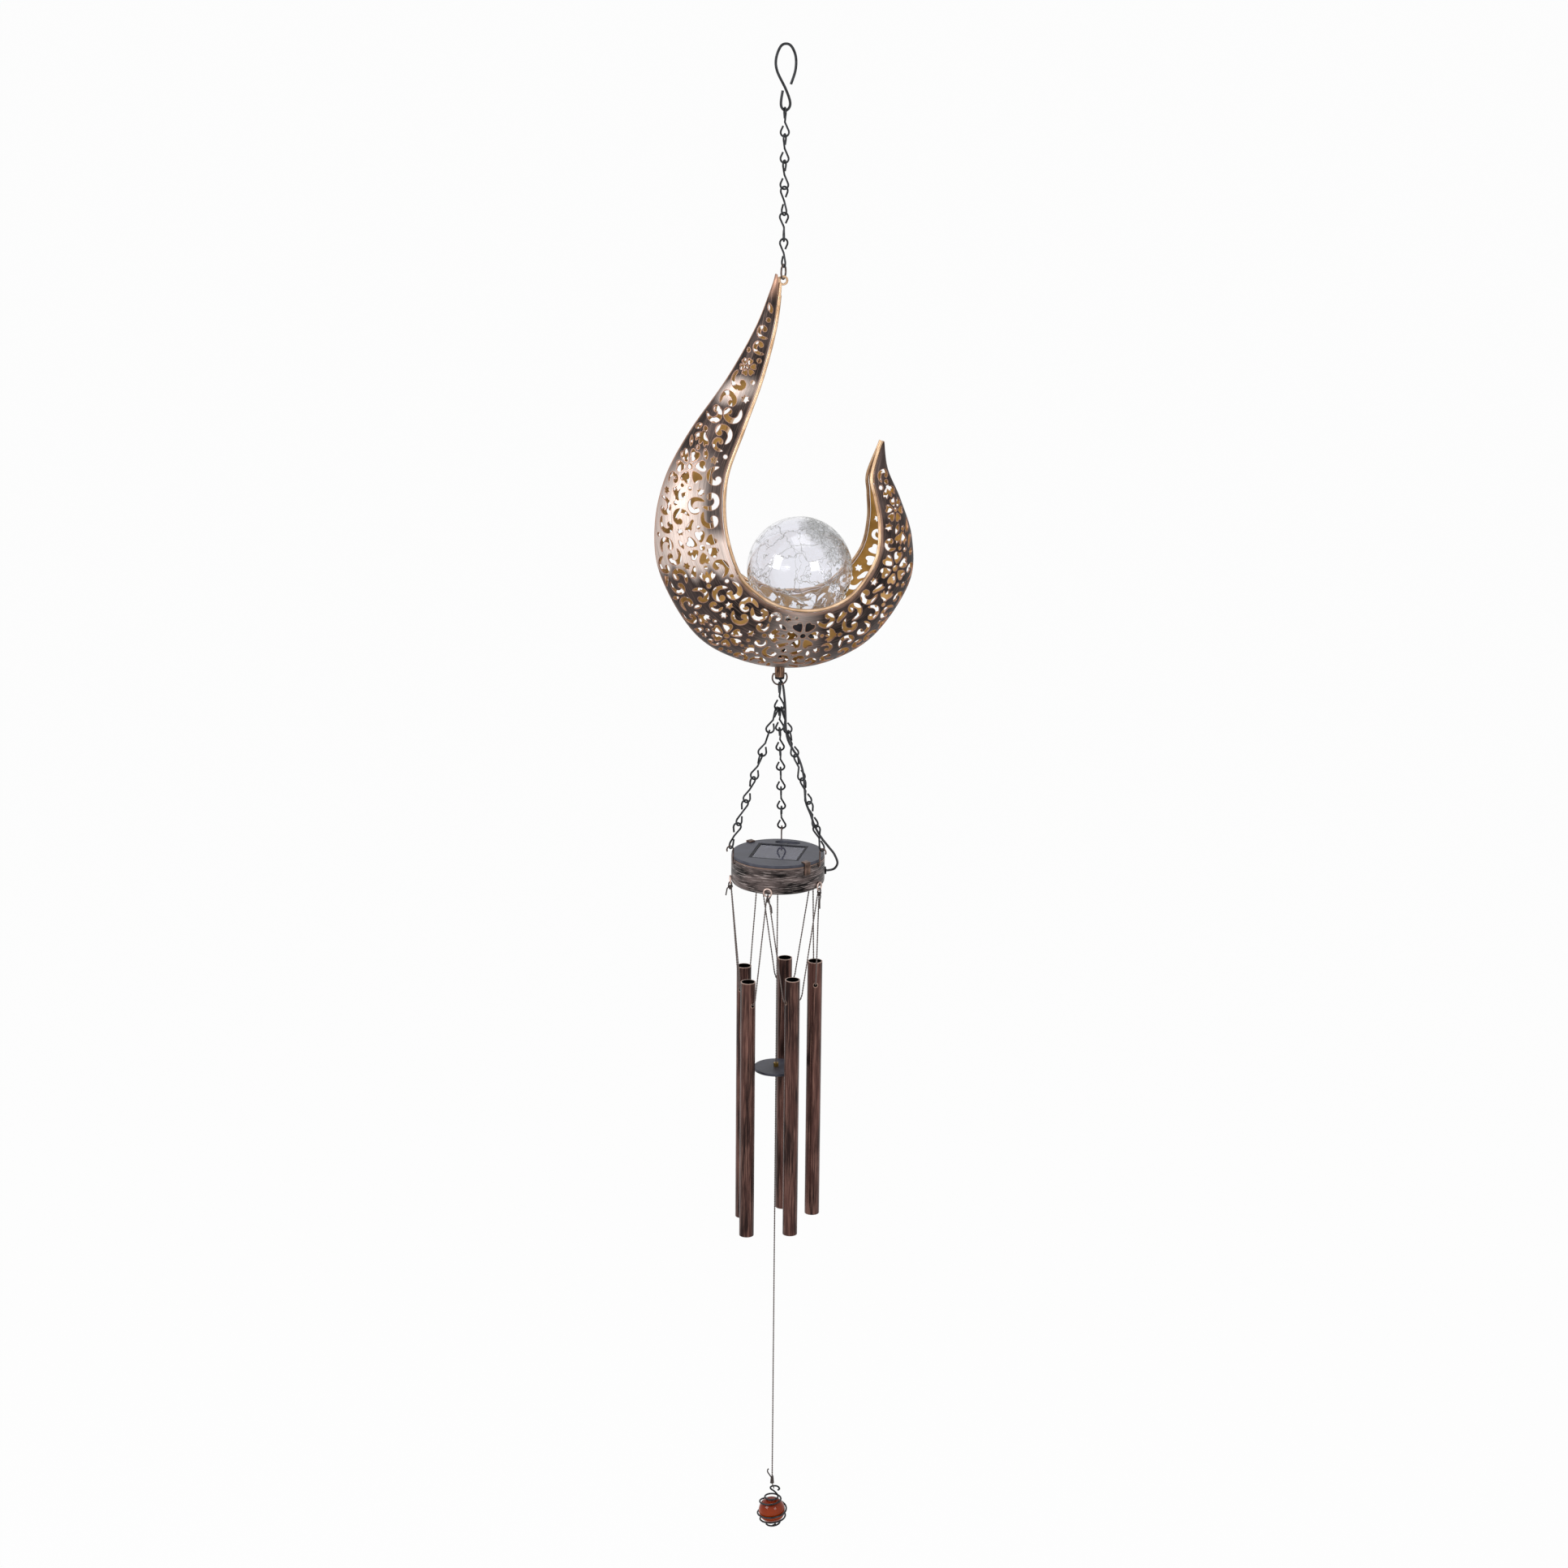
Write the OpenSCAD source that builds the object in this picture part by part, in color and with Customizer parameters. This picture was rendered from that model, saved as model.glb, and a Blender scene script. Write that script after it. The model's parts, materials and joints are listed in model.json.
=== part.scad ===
// Solar wind chime: a pierced crescent lantern with a glass globe hangs on a chain, and below it
// a solar housing on three chains carries five chime tubes, a striker and a caged marble.
// The origin is the inner top of the hanging hook's eye, +Z is up, and the crescent lies in the
// XZ plane. Everything hangs from the piece above it, so heights are worked out from the top down.

/* [Hanging hook and chain] */
// Wire of the hanging hook
hook_wire = 1.5; // [1.2:0.1:1.8]
// Outside width of the hook's eye
hook_w = 12.6; // [10:0.2:16]
// Height of the hook, outside
hook_h = 37.6; // [32:0.2:46]
// Wire of the chain links
link_wire = 1.1; // [0.9:0.1:1.3]
// Outside width of a link's loop
link_w = 5.8; // [5.2:0.1:7]
// Distance from one link to the next
link_pitch = 14.4; // [12:0.1:18]
// Outside diameter of the ring at the crescent's tip
tip_ring_d = 9.2; // [8.4:0.1:11]
// Wire of the ring at the crescent's tip
tip_ring_wire = 1.1; // [0.9:0.1:1.3]

/* [Crescent] */
// Width of the crescent over both limbs
crescent_w = 151; // [125:1:182]
// Height of the crescent's sheets
crescent_h = 228; // [190:1:274]
// Thickness of the two dished sheets
sheet_t = 0.8; // [0.5:0.1:1.2]
// Wire rolled into the sheets' inner rims
rim_wire = 2; // [1.4:0.1:2.6]
// Width of the channel's mouth under the globe
mouth_w = 51.2; // [44:0.2:56]
// Thickness of the eye at the tip
lug_t = 1.2; // [1:0.1:1.4]
// Hole of the eye at the tip
lug_hole = 3.2; // [3:0.1:4]
// Metal round the hole of the eye at the tip
lug_edge = 1.2; // [0.8:0.1:2]

/* [Globe and lamp] */
// Diameter of the glass globe
globe_d = 61; // [54:0.5:76]
// Wall of the glass globe
globe_wall = 1.6; // [1:0.1:2.5]
// Outside diameter of the globe's neck
neck_d = 18; // [14:0.5:22]
// Length of the globe's neck below the globe
neck_len = 4; // [3:0.5:6]
// Diameter of the lamp
led_d = 5; // [3:0.5:6]
// Sheet of the cup and of its bracket
cup_t = 0.8; // [0.6:0.1:1.2]
// Width of the bracket under the cup
bracket_w = 9; // [6:0.5:12]

/* [Boss and sling] */
// Outside diameter of the boss under the crescent
boss_d = 5.8; // [5:0.1:8]
// Bore of the boss
boss_bore = 3.4; // [3:0.1:4]
// Length of the boss inside the crescent
boss_rise = 6; // [4:0.5:9]
// Length of the boss below the crescent
boss_drop = 5.5; // [4:0.5:9]
// Outside diameter of the ring in the boss
boss_ring_d = 9.7; // [9:0.1:13]
// Wire of the ring in the boss
boss_ring_wire = 1; // [0.8:0.1:1.2]
// Length of the hook between the boss ring and the three chains
sling_hook_len = 17; // [14:0.5:24]
// Outside diameter of the loop that the three chains hang in
sling_loop_d = 6.7; // [6.5:0.1:8]
// Diameter of the lamp cable
cable_d = 1.4; // [1:0.1:1.8]
// Wire of the hooks in the pan's rim
rim_hook_wire = 0.9; // [0.7:0.1:1.1]

/* [Solar housing] */
// Outside diameter of the pan
pan_d = 55.4; // [54.4:0.2:68]
// Height of the pan
pan_h = 16.4; // [15:0.2:20]
// Sheet of the pan
pan_t = 0.8; // [0.6:0.1:1]
// Thickness of the lid
lid_t = 1.8; // [1.6:0.1:2.4]
// Side of the square solar cell's window
cell_side = 30; // [20:0.5:31]
// Depth of the solar cell's window
cell_deep = 0.9; // [0.8:0.1:1.1]
// Depth of the tub under the lid
tub_h = 12; // [11.6:0.2:12.8]
// Diameter of the battery
battery_d = 9; // [8:0.1:9.2]
// Length of the battery
battery_len = 29; // [24:0.5:31]
// Outside diameter of the cord eyes on the pan
eye_d = 5.6; // [5:0.1:7]
// Wire of the cord eyes on the pan
eye_wire = 0.9; // [0.7:0.1:1.1]

/* [Chime tubes] */
// Outside diameter of a chime tube
tube_d = 8.9; // [7.5:0.1:10.5]
// Wall of a chime tube
tube_wall = 0.7; // [0.5:0.1:1]
// Length of a chime tube
tube_len = 163; // [130:1:200]
// Cord hole's depth below a tube's top
tube_hole_drop = 14; // [10:0.5:20]
// Diameter of the cord hole
tube_hole = 2.4; // [2.2:0.1:3]
// Diameter of the cords
cord_d = 0.9; // [0.7:0.1:1]
// Height from the cord eyes down to the highest tube's cord hole
cord_drop = 63; // [50:0.5:75]

/* [Striker and sail] */
// Diameter of the striker disc
striker_d = 27; // [20:0.5:28]
// Thickness of the striker disc
striker_t = 1.6; // [1:0.1:2.4]
// Length of the striker's cord
striker_drop = 114; // [95:1:130]
// Length of the cord from the striker to the marble
sail_len = 276.5; // [200:0.5:330]
// Diameter of the marble
marble_d = 16.6; // [14:0.1:20]
// Wire of the marble's cage
cage_wire = 1.1; // [0.9:0.1:1.3]

/* [Hidden] */
// Room between pieces that move on each other
play = 0.3;
// Room between pieces that are soldered, glued or pressed together
seat = 0.15;
// Links of the top chain, and of each of the three sling chains
links = 6;
// Tubes, and the cord eyes that they hang from
tubes = 5;
// Turn of each top link, seen from above: a hanging chain is never quite straight
link_turn = [90, 62, 58, 22, -7, 12];
// Directions of the sling chains, of the first cord eye and of the first tube, seen from above
sling_angle = [190, 74, 318];
sling_name = ["left", "back", "right"];
eye_angle = 174;
tube_angle = eye_angle + 180 / tubes;
// How much lower each tube hangs than the highest one
tube_low = [7.4, 3.8, 0, 5, 6.6];
round_fn = 48;
wire_fn = 24;

// Finishes
black_wire = "#26242a";
bronze = "#5b463f";
copper = "#c98a63";
black_plastic = "#1d1c20";
cord_brown = "#6f625c";
amber = "#9c3a0e";

// Curves

function unit(v) = v / norm(v);

// Point of a smooth curve through all the points of a list, at u points from its start
function spline_at(p, u) =
  let (
    last = len(p) - 1,
    i = min(floor(u), last - 1),
    f = u - i,
    a = p[max(i - 1, 0)],
    b = p[i],
    c = p[i + 1],
    d = p[min(i + 2, last)]
  )
  (2 * b + (c - a) * f + (2 * a - 5 * b + 4 * c - d) * f * f + (3 * b - a - 3 * c + d) * f * f * f) / 2;

// The same curve as a list, with a number of steps from each point to the next
function spline(p, steps) =
  [for (i = [0:(len(p) - 1) * steps]) spline_at(p, i / steps)];

function tangents(p) =
  [for (i = [0:len(p) - 1]) unit(p[min(i + 1, len(p) - 1)] - p[max(i - 1, 0)])];

// A normal at each tangent that turns as little as it can from the one before
function normals(t) =
  let (first = unit(cross(t[0], abs(t[0].y) < 0.9 ? [0, 1, 0] : [1, 0, 0])))
  [for (i = 0, n = first; i < len(t); i = i + 1, n = i < len(t) ? unit(n - (n * t[i]) * t[i]) : n) n];

// Round wire or cord along a list of points
module wire_along(p, d, sides) {
  t = tangents(p);
  n = normals(t);
  rings = len(p);
  points = [
    for (i = [0:rings - 1])
      for (k = [0:sides - 1])
        p[i] + d / 2 * (cos(360 * k / sides) * n[i] + sin(360 * k / sides) * cross(t[i], n[i]))
  ];
  walls = [
    for (i = [0:rings - 2])
      for (k = [0:sides - 1])
        let (a = i * sides + k, b = i * sides + (k + 1) % sides)
        for (face = [[a, a + sides, b + sides], [a, b + sides, b]]) face
  ];
  start_cap = [for (k = [1:sides - 2]) [0, k, k + 1]];
  end_cap = [for (k = [1:sides - 2]) [0, k + 1, k] + (rings - 1) * sides * [1, 1, 1]];
  polyhedron(points, concat(walls, start_cap, end_cap), convexity = 6);
}

// Straight round rod between two points
module rod(from, to, d) {
  v = to - from;
  translate(from)
    rotate([0, acos(v.z / norm(v)), atan2(v.y, v.x)])
      cylinder(d = d, h = norm(v), $fn = wire_fn);
}

// Bent wire in the XZ plane from one angle to another, counted from +X towards +Z
module wire_arc(r, d, from, to) {
  rotate([90, 0, 0])
    rotate([0, 0, from])
      rotate_extrude(angle = to - from, $fn = round_fn)
        translate([r, 0])
          circle(d = d, $fn = wire_fn);
}

// Small ball of solder where two stretches of wire meet
module wire_ball(at, d) {
  translate(at)
    sphere(d = 1.08 * d, $fn = wire_fn);
}

// Hanging hook: one wire, bent to an open eye above and a small loop below.
// Its centre line, across and down from the inner top of the eye, as drawn at the drawn size.
hook_line = [
  [3.2, -22], [5.7, -14], [5.8, -6.5], [3.4, -0.8], [0.2, 0.75], [-2.9, -1], [-5.3, -7.6],
  [-4.6, -14.6], [0.2, -24.4], [2.7, -31.2], [2.5, -34.8], [0.3, -36.7], [-1.9, -34.9],
  [-2.3, -31.6], [-1.4, -25.4]
];
hook_drawn_w = max([for (q = hook_line) q.x]) - min([for (q = hook_line) q.x]);
hook_drawn_h = max([for (q = hook_line) q.y]) - min([for (q = hook_line) q.y]);
hook_sx = (hook_w - hook_wire) / hook_drawn_w;
hook_sz = (hook_h - hook_wire) / hook_drawn_h;
hook_top = hook_wire / 2;
hook_path = [for (q = hook_line) [q.x * hook_sx, 0, hook_top + (q.y - hook_line[4].y) * hook_sz]];
hook_bottom = hook_top - (hook_h - hook_wire);

module hanging_hook() {
  color(black_wire)
    wire_along(spline(hook_path, 4), hook_wire, 8);
}

// Chain link: a wire with a loop at each end, a quarter turn apart, its two ends meeting at the waist.
// The link hangs down from the middle of its top wire.
function link_length() = link_pitch + link_wire + play;

module link_loop(half, loop_w, ends_gap) {
  r = (loop_w - link_wire) / 2;
  lean = asin(r / (half - r));
  waist = [0, 0, -half];
  right = [r * cos(lean), 0, -r - r * sin(lean)];
  left = [-right.x, 0, right.z];
  translate([0, 0, -r])
    wire_arc(r, link_wire, -lean, 180 + lean);
  rod(left, waist, link_wire);
  rod(right, waist + ends_gap * unit(right - waist), link_wire);
  wire_ball(left, link_wire);
  wire_ball(right, link_wire);
}

module jack_link(length, low_w) {
  // The open end of each loop stops two wires short of the waist
  ends_gap = 2 * link_wire;
  link_loop(length / 2, link_w, ends_gap);
  translate([0, 0, -length])
    rotate([180, 0, 90])
      link_loop(length / 2, low_w, ends_gap);
  wire_ball([0, 0, -length / 2], link_wire);
}

chain_top = hook_bottom + (hook_wire + link_wire) / 2 + play;
function link_top(i) = chain_top - (i - 1) * link_pitch;

module chain_link(i) {
  color(black_wire)
    translate([0, 0, link_top(i)])
      rotate([0, 0, link_turn[i - 1]])
        jack_link(link_length(), link_w);
}

// Ring at the tip, turned so that it passes through the eye of the tip
tip_ring_r = (tip_ring_d - tip_ring_wire) / 2;
tip_ring_top = link_top(links) - link_length() + (link_wire + tip_ring_wire) / 2 + play;
tip_ring_z = tip_ring_top - tip_ring_r;
tip_ring_turn = 60;

module tip_ring() {
  color(copper)
    translate([0, 0, tip_ring_z])
      rotate([90, 0, tip_ring_turn])
        rotate_extrude($fn = round_fn)
          translate([tip_ring_r, 0])
            circle(d = tip_ring_wire, $fn = wire_fn);
}

// Eye of the tip: it hangs on the ring's lowest point, and the crescent hangs on it
lug_z = tip_ring_z - tip_ring_r + tip_ring_wire / 2 + play - lug_hole / 2;
lug_r = lug_hole / 2 + lug_edge;

// Crescent: stations along it from the tall tip, round the bowl to the short horn. Each has the
// outer seam's place and the inner rim's place, across and down from the eye, at the drawn size.
stations = [
  [-4.4, 3.6, -2.4, 3.6], [-6.9, -4.5, -2.2, -4.5], [-16, -27, -5.6, -26.5],
  [-32.2, -55, -14, -54], [-53.8, -85, -25.8, -81.5], [-67.7, -111, -35.9, -108.5],
  [-73.6, -139.5, -37, -136], [-69.9, -168, -29.9, -161.5], [-50.2, -202, -17.7, -175],
  [-23.7, -218.5, -3.7, -182.5], [7.8, -224.6, 12.3, -185.2], [34.8, -219.5, 27.3, -183],
  [57.8, -205, 40.3, -175], [76.6, -176, 52.1, -158.5], [77.6, -150, 55, -140],
  [70.3, -127, 53.3, -124], [62.4, -109, 52, -112], [60, -93, 58.4, -92.5]
];
bowl_u = 9.93;
boss_u = 9.75;
drawn_w = max([for (s = stations) s[0]]) - min([for (s = stations) s[0]]);
drawn_h = max([for (s = stations) s[1]]) - min([for (s = stations) s[1]]);
crescent_sx = crescent_w / drawn_w;
crescent_sz = crescent_h / drawn_h;
sheet_steps = 3;
dish_steps = 6;
seam_half = 0.6 * sheet_t;
tip_half = 1.9;
horn_half = 1.15;
tip_width = 3;
rim_start = 1.2;

function seam_point(u) =
  let (s = spline_at(stations, u))
  [s[0] * crescent_sx, 0, lug_z + s[1] * crescent_sz];
function rim_point(u) =
  let (s = spline_at(stations, u))
  [s[2] * crescent_sx, 0, lug_z + s[3] * crescent_sz];
function sheet_width(u) = norm(seam_point(u) - rim_point(u));
// Half of the channel's mouth: wide at the bowl, closed at both tips
function closed_half(u) = tip_half + (horn_half - tip_half) * u / (len(stations) - 1);
function swell(u) = max(0, sheet_width(u) - tip_width);
function mouth_half(u) =
  closed_half(u) + (mouth_w / 2 - closed_half(bowl_u)) * pow(swell(u) / swell(bowl_u), 1.2);
// Half of the channel where a part of the way from rim to seam is left behind
function channel_half(u, part) =
  seam_half + (mouth_half(u) - seam_half) * pow(max(0, 1 - part * part), 0.75);

// Middle of the front sheet's thickness, at an angle of 0 at the rim to 90 at the seam
function sheet_point(u, angle) =
  let (
    rim_edge = (rim_wire / 2 + 2 * seat) / sheet_width(u),
    part = rim_edge + (1 - rim_edge) * sin(angle),
    half = channel_half(u, sin(angle))
  )
  rim_point(u) + part * (seam_point(u) - rim_point(u)) - [0, half, 0];

function sheet_normal(u, angle) =
  let (
    last = len(stations) - 1,
    along = sheet_point(min(u + 0.02, last), angle) - sheet_point(max(u - 0.02, 0), angle),
    across = sheet_point(u, min(angle + 1, 90)) - sheet_point(u, max(angle - 1, 0))
  )
  unit(cross(across, along));

module dished_sheet() {
  rows = (len(stations) - 1) * sheet_steps;
  cols = dish_steps;
  grid = [for (i = [0:rows]) for (j = [0:cols]) [i / sheet_steps, 90 * j / cols]];
  outside = [for (g = grid) sheet_point(g[0], g[1]) + sheet_t / 2 * sheet_normal(g[0], g[1])];
  inside = [for (g = grid) sheet_point(g[0], g[1]) - sheet_t / 2 * sheet_normal(g[0], g[1])];
  step = cols + 1;
  lift = len(grid);
  skin = [
    for (i = [0:rows - 1])
      for (j = [0:cols - 1])
        let (a = i * step + j, b = a + 1, c = a + step, d = c + 1)
        for (face = [[a, b, d], [a, d, c], [b + lift, a + lift, d + lift], [d + lift, a + lift, c + lift]])
          face
  ];
  long_edges = [
    for (i = [0:rows - 1])
      let (a = i * step, c = a + step, b = a + cols, d = c + cols)
      for (face = [[a, c, a + lift], [c, c + lift, a + lift], [d, b, d + lift], [b, b + lift, d + lift]])
        face
  ];
  end_edges = [
    for (j = [0:cols - 1])
      let (a = j, c = rows * step + j)
      for (face = [
        [a + 1, a, a + lift], [a + 1, a + lift, a + 1 + lift],
        [c, c + 1, c + lift], [c + 1, c + 1 + lift, c + lift]
      ])
        face
  ];
  polyhedron(concat(outside, inside), concat(skin, long_edges, end_edges), convexity = 8);
}

module crescent_sheet() {
  difference() {
    dished_sheet();
    translate([0, 0, boss_bottom])
      cylinder(d = boss_d + 2 * seat, h = boss_top - boss_bottom, $fn = round_fn);
  }
}

module crescent_front() {
  color(bronze)
    crescent_sheet();
}

module crescent_back() {
  color(bronze)
    mirror([0, 1, 0])
      crescent_sheet();
}

// Rolled rims along the mouth of the channel
module rim_wire_along(side) {
  last = len(stations) - 1;
  steps = (last - 1) * sheet_steps;
  path = [
    for (i = [0:steps])
      let (u = rim_start + (last - rim_start) * i / steps)
      rim_point(u) + [0, side * mouth_half(u), 0]
  ];
  wire_along(path, rim_wire, 6);
}

module rim_wire_front() {
  color(copper)
    rim_wire_along(-1);
}

module rim_wire_back() {
  color(copper)
    rim_wire_along(1);
}

// Flat eye soldered between the tops of both sheets, above the ends of the rims
lug_reach = -seam_point(0.4).x - 0.8;
lug_foot = 2.2;

module tip_lug() {
  color(copper)
    translate([0, lug_t / 2, 0])
      rotate([90, 0, 0])
        linear_extrude(lug_t)
          difference() {
            hull() {
              translate([0, lug_z])
                circle(r = lug_r, $fn = round_fn);
              translate([-lug_reach, lug_z - lug_foot])
                square([1, lug_foot + 1.4]);
            }
            translate([0, lug_z])
              circle(d = lug_hole, $fn = round_fn);
          }
}

// Globe: it sits on both rims at the bottom of the bowl, with its neck down in the channel
globe_r = globe_d / 2;
rim_low = rim_point(bowl_u);
globe_x = rim_low.x;
globe_z = rim_low.z + sqrt(pow(globe_r + rim_wire / 2 + play, 2) - pow(mouth_half(bowl_u), 2));
neck_bottom = globe_z - globe_r - neck_len;
neck_bore = neck_d - 2 * globe_wall;

module glass_globe() {
  color("#dfe6e8", 0.4)
    translate([globe_x, 0, globe_z])
      difference() {
        union() {
          sphere(r = globe_r, $fn = 96);
          translate([0, 0, -globe_r - neck_len])
            cylinder(d = neck_d, h = neck_len + globe_r / 3, $fn = round_fn);
        }
        sphere(r = globe_r - globe_wall, $fn = 96);
        translate([0, 0, -globe_r - neck_len - 1])
          cylinder(d = neck_bore, h = neck_len + globe_r / 2, $fn = round_fn);
      }
}

// Rubber plug in the neck, which holds the lamp and lets its lead out
plug_len = neck_len + 3;
led_seat = 3;

module globe_plug() {
  color("#d9d2c2")
    translate([globe_x, 0, neck_bottom])
      difference() {
        cylinder(d = neck_bore - 2 * seat, h = plug_len, $fn = round_fn);
        translate([0, 0, plug_len - led_seat])
          cylinder(d = led_d + 2 * seat, h = led_seat + 1, $fn = round_fn);
        translate([0, 0, -1])
          cylinder(d = cable_d + 2 * seat, h = plug_len, $fn = round_fn);
      }
}

module lamp_led() {
  body = 6;
  color("#f4e7a6")
    translate([globe_x, 0, neck_bottom + plug_len - led_seat + seat]) {
      cylinder(d = led_d, h = body, $fn = round_fn);
      translate([0, 0, body])
        sphere(d = led_d, $fn = round_fn);
    }
}

// Cup round the neck, and the strip between the two sheets that carries it
cup_d = neck_d + 2 * seat + 2 * cup_t;
cup_floor = neck_bottom - seat;
cup_h = neck_len + 1;
lead_hole = 4;

module lamp_cup() {
  color(bronze)
    translate([globe_x, 0, cup_floor - cup_t])
      difference() {
        cylinder(d = cup_d, h = cup_h, $fn = round_fn);
        translate([0, 0, cup_t])
          cylinder(d = cup_d - 2 * cup_t, h = cup_h, $fn = round_fn);
        translate([0, 0, -1])
          cylinder(d = lead_hole, h = cup_t + 2, $fn = round_fn);
      }
}

bracket_top = cup_floor - cup_t;
bracket_low = bracket_top - cup_t;
bracket_part = (rim_low.z - bracket_low + sheet_t) / sheet_width(bowl_u);
bracket_half = channel_half(bowl_u, bracket_part) - sheet_t - seat;

module lamp_bracket() {
  color(bronze)
    difference() {
      translate([globe_x - bracket_w / 2, -bracket_half, bracket_low])
        cube([bracket_w, 2 * bracket_half, cup_t]);
      translate([globe_x, 0, bracket_low - 1])
        cylinder(d = lead_hole, h = cup_t + 2, $fn = round_fn);
    }
}

// Boss: a tube through the seam under the eye, with the cable in it and two holes for its ring
seam_z = seam_point(boss_u).z;
boss_top = seam_z + boss_rise;
boss_bottom = seam_z - boss_drop;
ring_hole = boss_ring_wire + 0.3;
bail_z = boss_bottom + ring_hole / 2 + 0.9;

// Lead from the lamp to the boss, inside the channel
module lamp_lead() {
  low = boss_top + 1;
  path = [
    [globe_x, 0, neck_bottom + 1], [globe_x, 0, bracket_low - 1],
    [globe_x * 0.85, 0, (bracket_low * 2 + low) / 3], [globe_x * 0.15, 0, (bracket_low + low * 5) / 6],
    [0, 0, low - 1], [0, 0, bail_z + seat]
  ];
  color(black_plastic)
    wire_along(spline(path, 5), cable_d, 8);
}

module boss() {
  color(copper)
    difference() {
      translate([0, 0, boss_bottom])
        cylinder(d = boss_d, h = boss_top - boss_bottom, $fn = round_fn);
      translate([0, 0, boss_bottom - 1])
        cylinder(d = boss_bore, h = boss_top - boss_bottom + 2, $fn = round_fn);
      translate([-boss_d, 0, bail_z])
        rotate([0, 90, 0])
          cylinder(d = ring_hole, h = 2 * boss_d, $fn = round_fn);
    }
}

// Black bush in the mouth of the boss, with a collar below it
gland_collar_h = 1.2;
gland_stop = bail_z - boss_ring_wire / 2 - play;

module cable_gland() {
  collar_z = boss_bottom - seat;
  color(black_plastic)
    difference() {
      union() {
        translate([0, 0, collar_z - gland_collar_h])
          cylinder(d = boss_d - 2 * seat, h = gland_collar_h, $fn = round_fn);
        translate([0, 0, collar_z - gland_collar_h])
          cylinder(d = boss_bore - 2 * seat, h = gland_stop - collar_z + gland_collar_h, $fn = round_fn);
      }
      translate([0, 0, collar_z - gland_collar_h - 1])
        cylinder(d = cable_d + 2 * seat, h = boss_drop, $fn = round_fn);
    }
}

// Ring of the boss: a bail whose two ends turn in the boss's holes
boss_ring_r = (boss_ring_d - boss_ring_wire) / 2;
bail_reach = boss_d / 2 + play + boss_ring_wire / 2;
bail_lean = acos(bail_reach / boss_ring_r);
boss_ring_z = bail_z - boss_ring_r * sin(bail_lean);
boss_ring_low = boss_ring_z - boss_ring_r;

module boss_ring() {
  pin_end = boss_bore / 2 + seat;
  color(black_wire) {
    translate([0, 0, boss_ring_z])
      wire_arc(boss_ring_r, boss_ring_wire, 180 - bail_lean, 360 + bail_lean);
    for (side = [-1, 1]) {
      rod([side * bail_reach, 0, bail_z], [side * pin_end, 0, bail_z], boss_ring_wire);
      wire_ball([side * bail_reach, 0, bail_z], boss_ring_wire);
    }
  }
}

// Hook that hangs on the boss ring, its lower loop facing the front
sling_hook_top = boss_ring_low + (boss_ring_wire + link_wire) / 2 + play;
sling_hook_low = sling_hook_top - sling_hook_len;

module sling_hook() {
  color(black_wire)
    translate([0, 0, sling_hook_top])
      rotate([0, 0, 90])
        jack_link(sling_hook_len, sling_loop_d);
}

// Sling: three chains from the hook to hooks in the pan's rim. The links turn on the way,
// from across the hook's loop at the top to across the rim hooks at the bottom.
pan_r = pan_d / 2;
rim_hook_r = 2;
rim_leg = pan_r + play + rim_hook_wire / 2;
sling_r = rim_leg + rim_hook_r;
sling_loop_r = (sling_loop_d - link_wire) / 2;
sling_seat = sling_loop_r - link_wire - play;
sling_fan = [-61, 0, 61];
sling_reach = (links - 1) * link_pitch + link_length();
sling_low = sling_hook_low + link_wire + play - sqrt(pow(sling_reach, 2) - pow(sling_r, 2));

function sling_start(k) =
  [sling_seat * sin(sling_fan[k]), 0, sling_hook_low + sling_loop_r - sling_seat * cos(sling_fan[k])];
function sling_end(k) = [sling_r * cos(sling_angle[k]), sling_r * sin(sling_angle[k]), sling_low];

module sling_chain(k) {
  way = sling_end(k) - sling_start(k);
  out = norm([way.x, way.y]);
  heading = atan2(way.y, way.x);
  first_turn = ((180 - heading) % 180 + 180) % 180 - 90;
  step = (norm(way) - link_length()) / (links - 1);
  color(black_wire)
    translate(sling_start(k))
      rotate([0, -atan2(out, -way.z), heading])
        for (i = [0:links - 1])
          translate([0, 0, -i * step])
            rotate([0, 0, first_turn * (1 - i / (links - 1))])
              jack_link(link_length(), link_w);
}

// Pan of the solar housing, and what hangs in its rim
rim_hook_top = sling_low + (link_wire + rim_hook_wire) / 2 + play;
lid_over_hooks = 7;
hook_tail = 1.6;
pan_top = rim_hook_top - lid_over_hooks - lid_t;
pan_bottom = pan_top - pan_h;
rim_hole = rim_hook_wire + 0.5;
rim_hole_z = pan_top - 2.2;
grommet_angle = -4;
grommet_z = pan_bottom + 6;
grommet_d = 3.2;
knot_hole = 3;
pan_round = 2.4;

module rim_hooks() {
  elbow = rim_leg - pan_r;
  inner_end = pan_r - pan_t - hook_tail;
  color(copper)
    for (angle = sling_angle)
      rotate([0, 0, angle]) {
        translate([sling_r, 0, rim_hook_top - rim_hook_r])
          wire_arc(rim_hook_r, rim_hook_wire, -30, 180);
        rod([rim_leg, 0, rim_hook_top - rim_hook_r], [rim_leg, 0, rim_hole_z + elbow], rim_hook_wire);
        translate([pan_r, 0, rim_hole_z + elbow])
          wire_arc(elbow, rim_hook_wire, -90, 0);
        rod([pan_r, 0, rim_hole_z], [inner_end, 0, rim_hole_z], rim_hook_wire);
        wire_ball([rim_leg, 0, rim_hook_top - rim_hook_r], rim_hook_wire);
        wire_ball([rim_leg, 0, rim_hole_z + elbow], rim_hook_wire);
        wire_ball([pan_r, 0, rim_hole_z], rim_hook_wire);
      }
}

// Outline of the pan's wall and floor, with a rounded lower edge
function pan_outline(r, low, round) =
  concat(
    [[0, low]],
    [for (a = [-90:15:0]) [r - round + round * cos(a), low + round + round * sin(a)]]
  );

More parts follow.
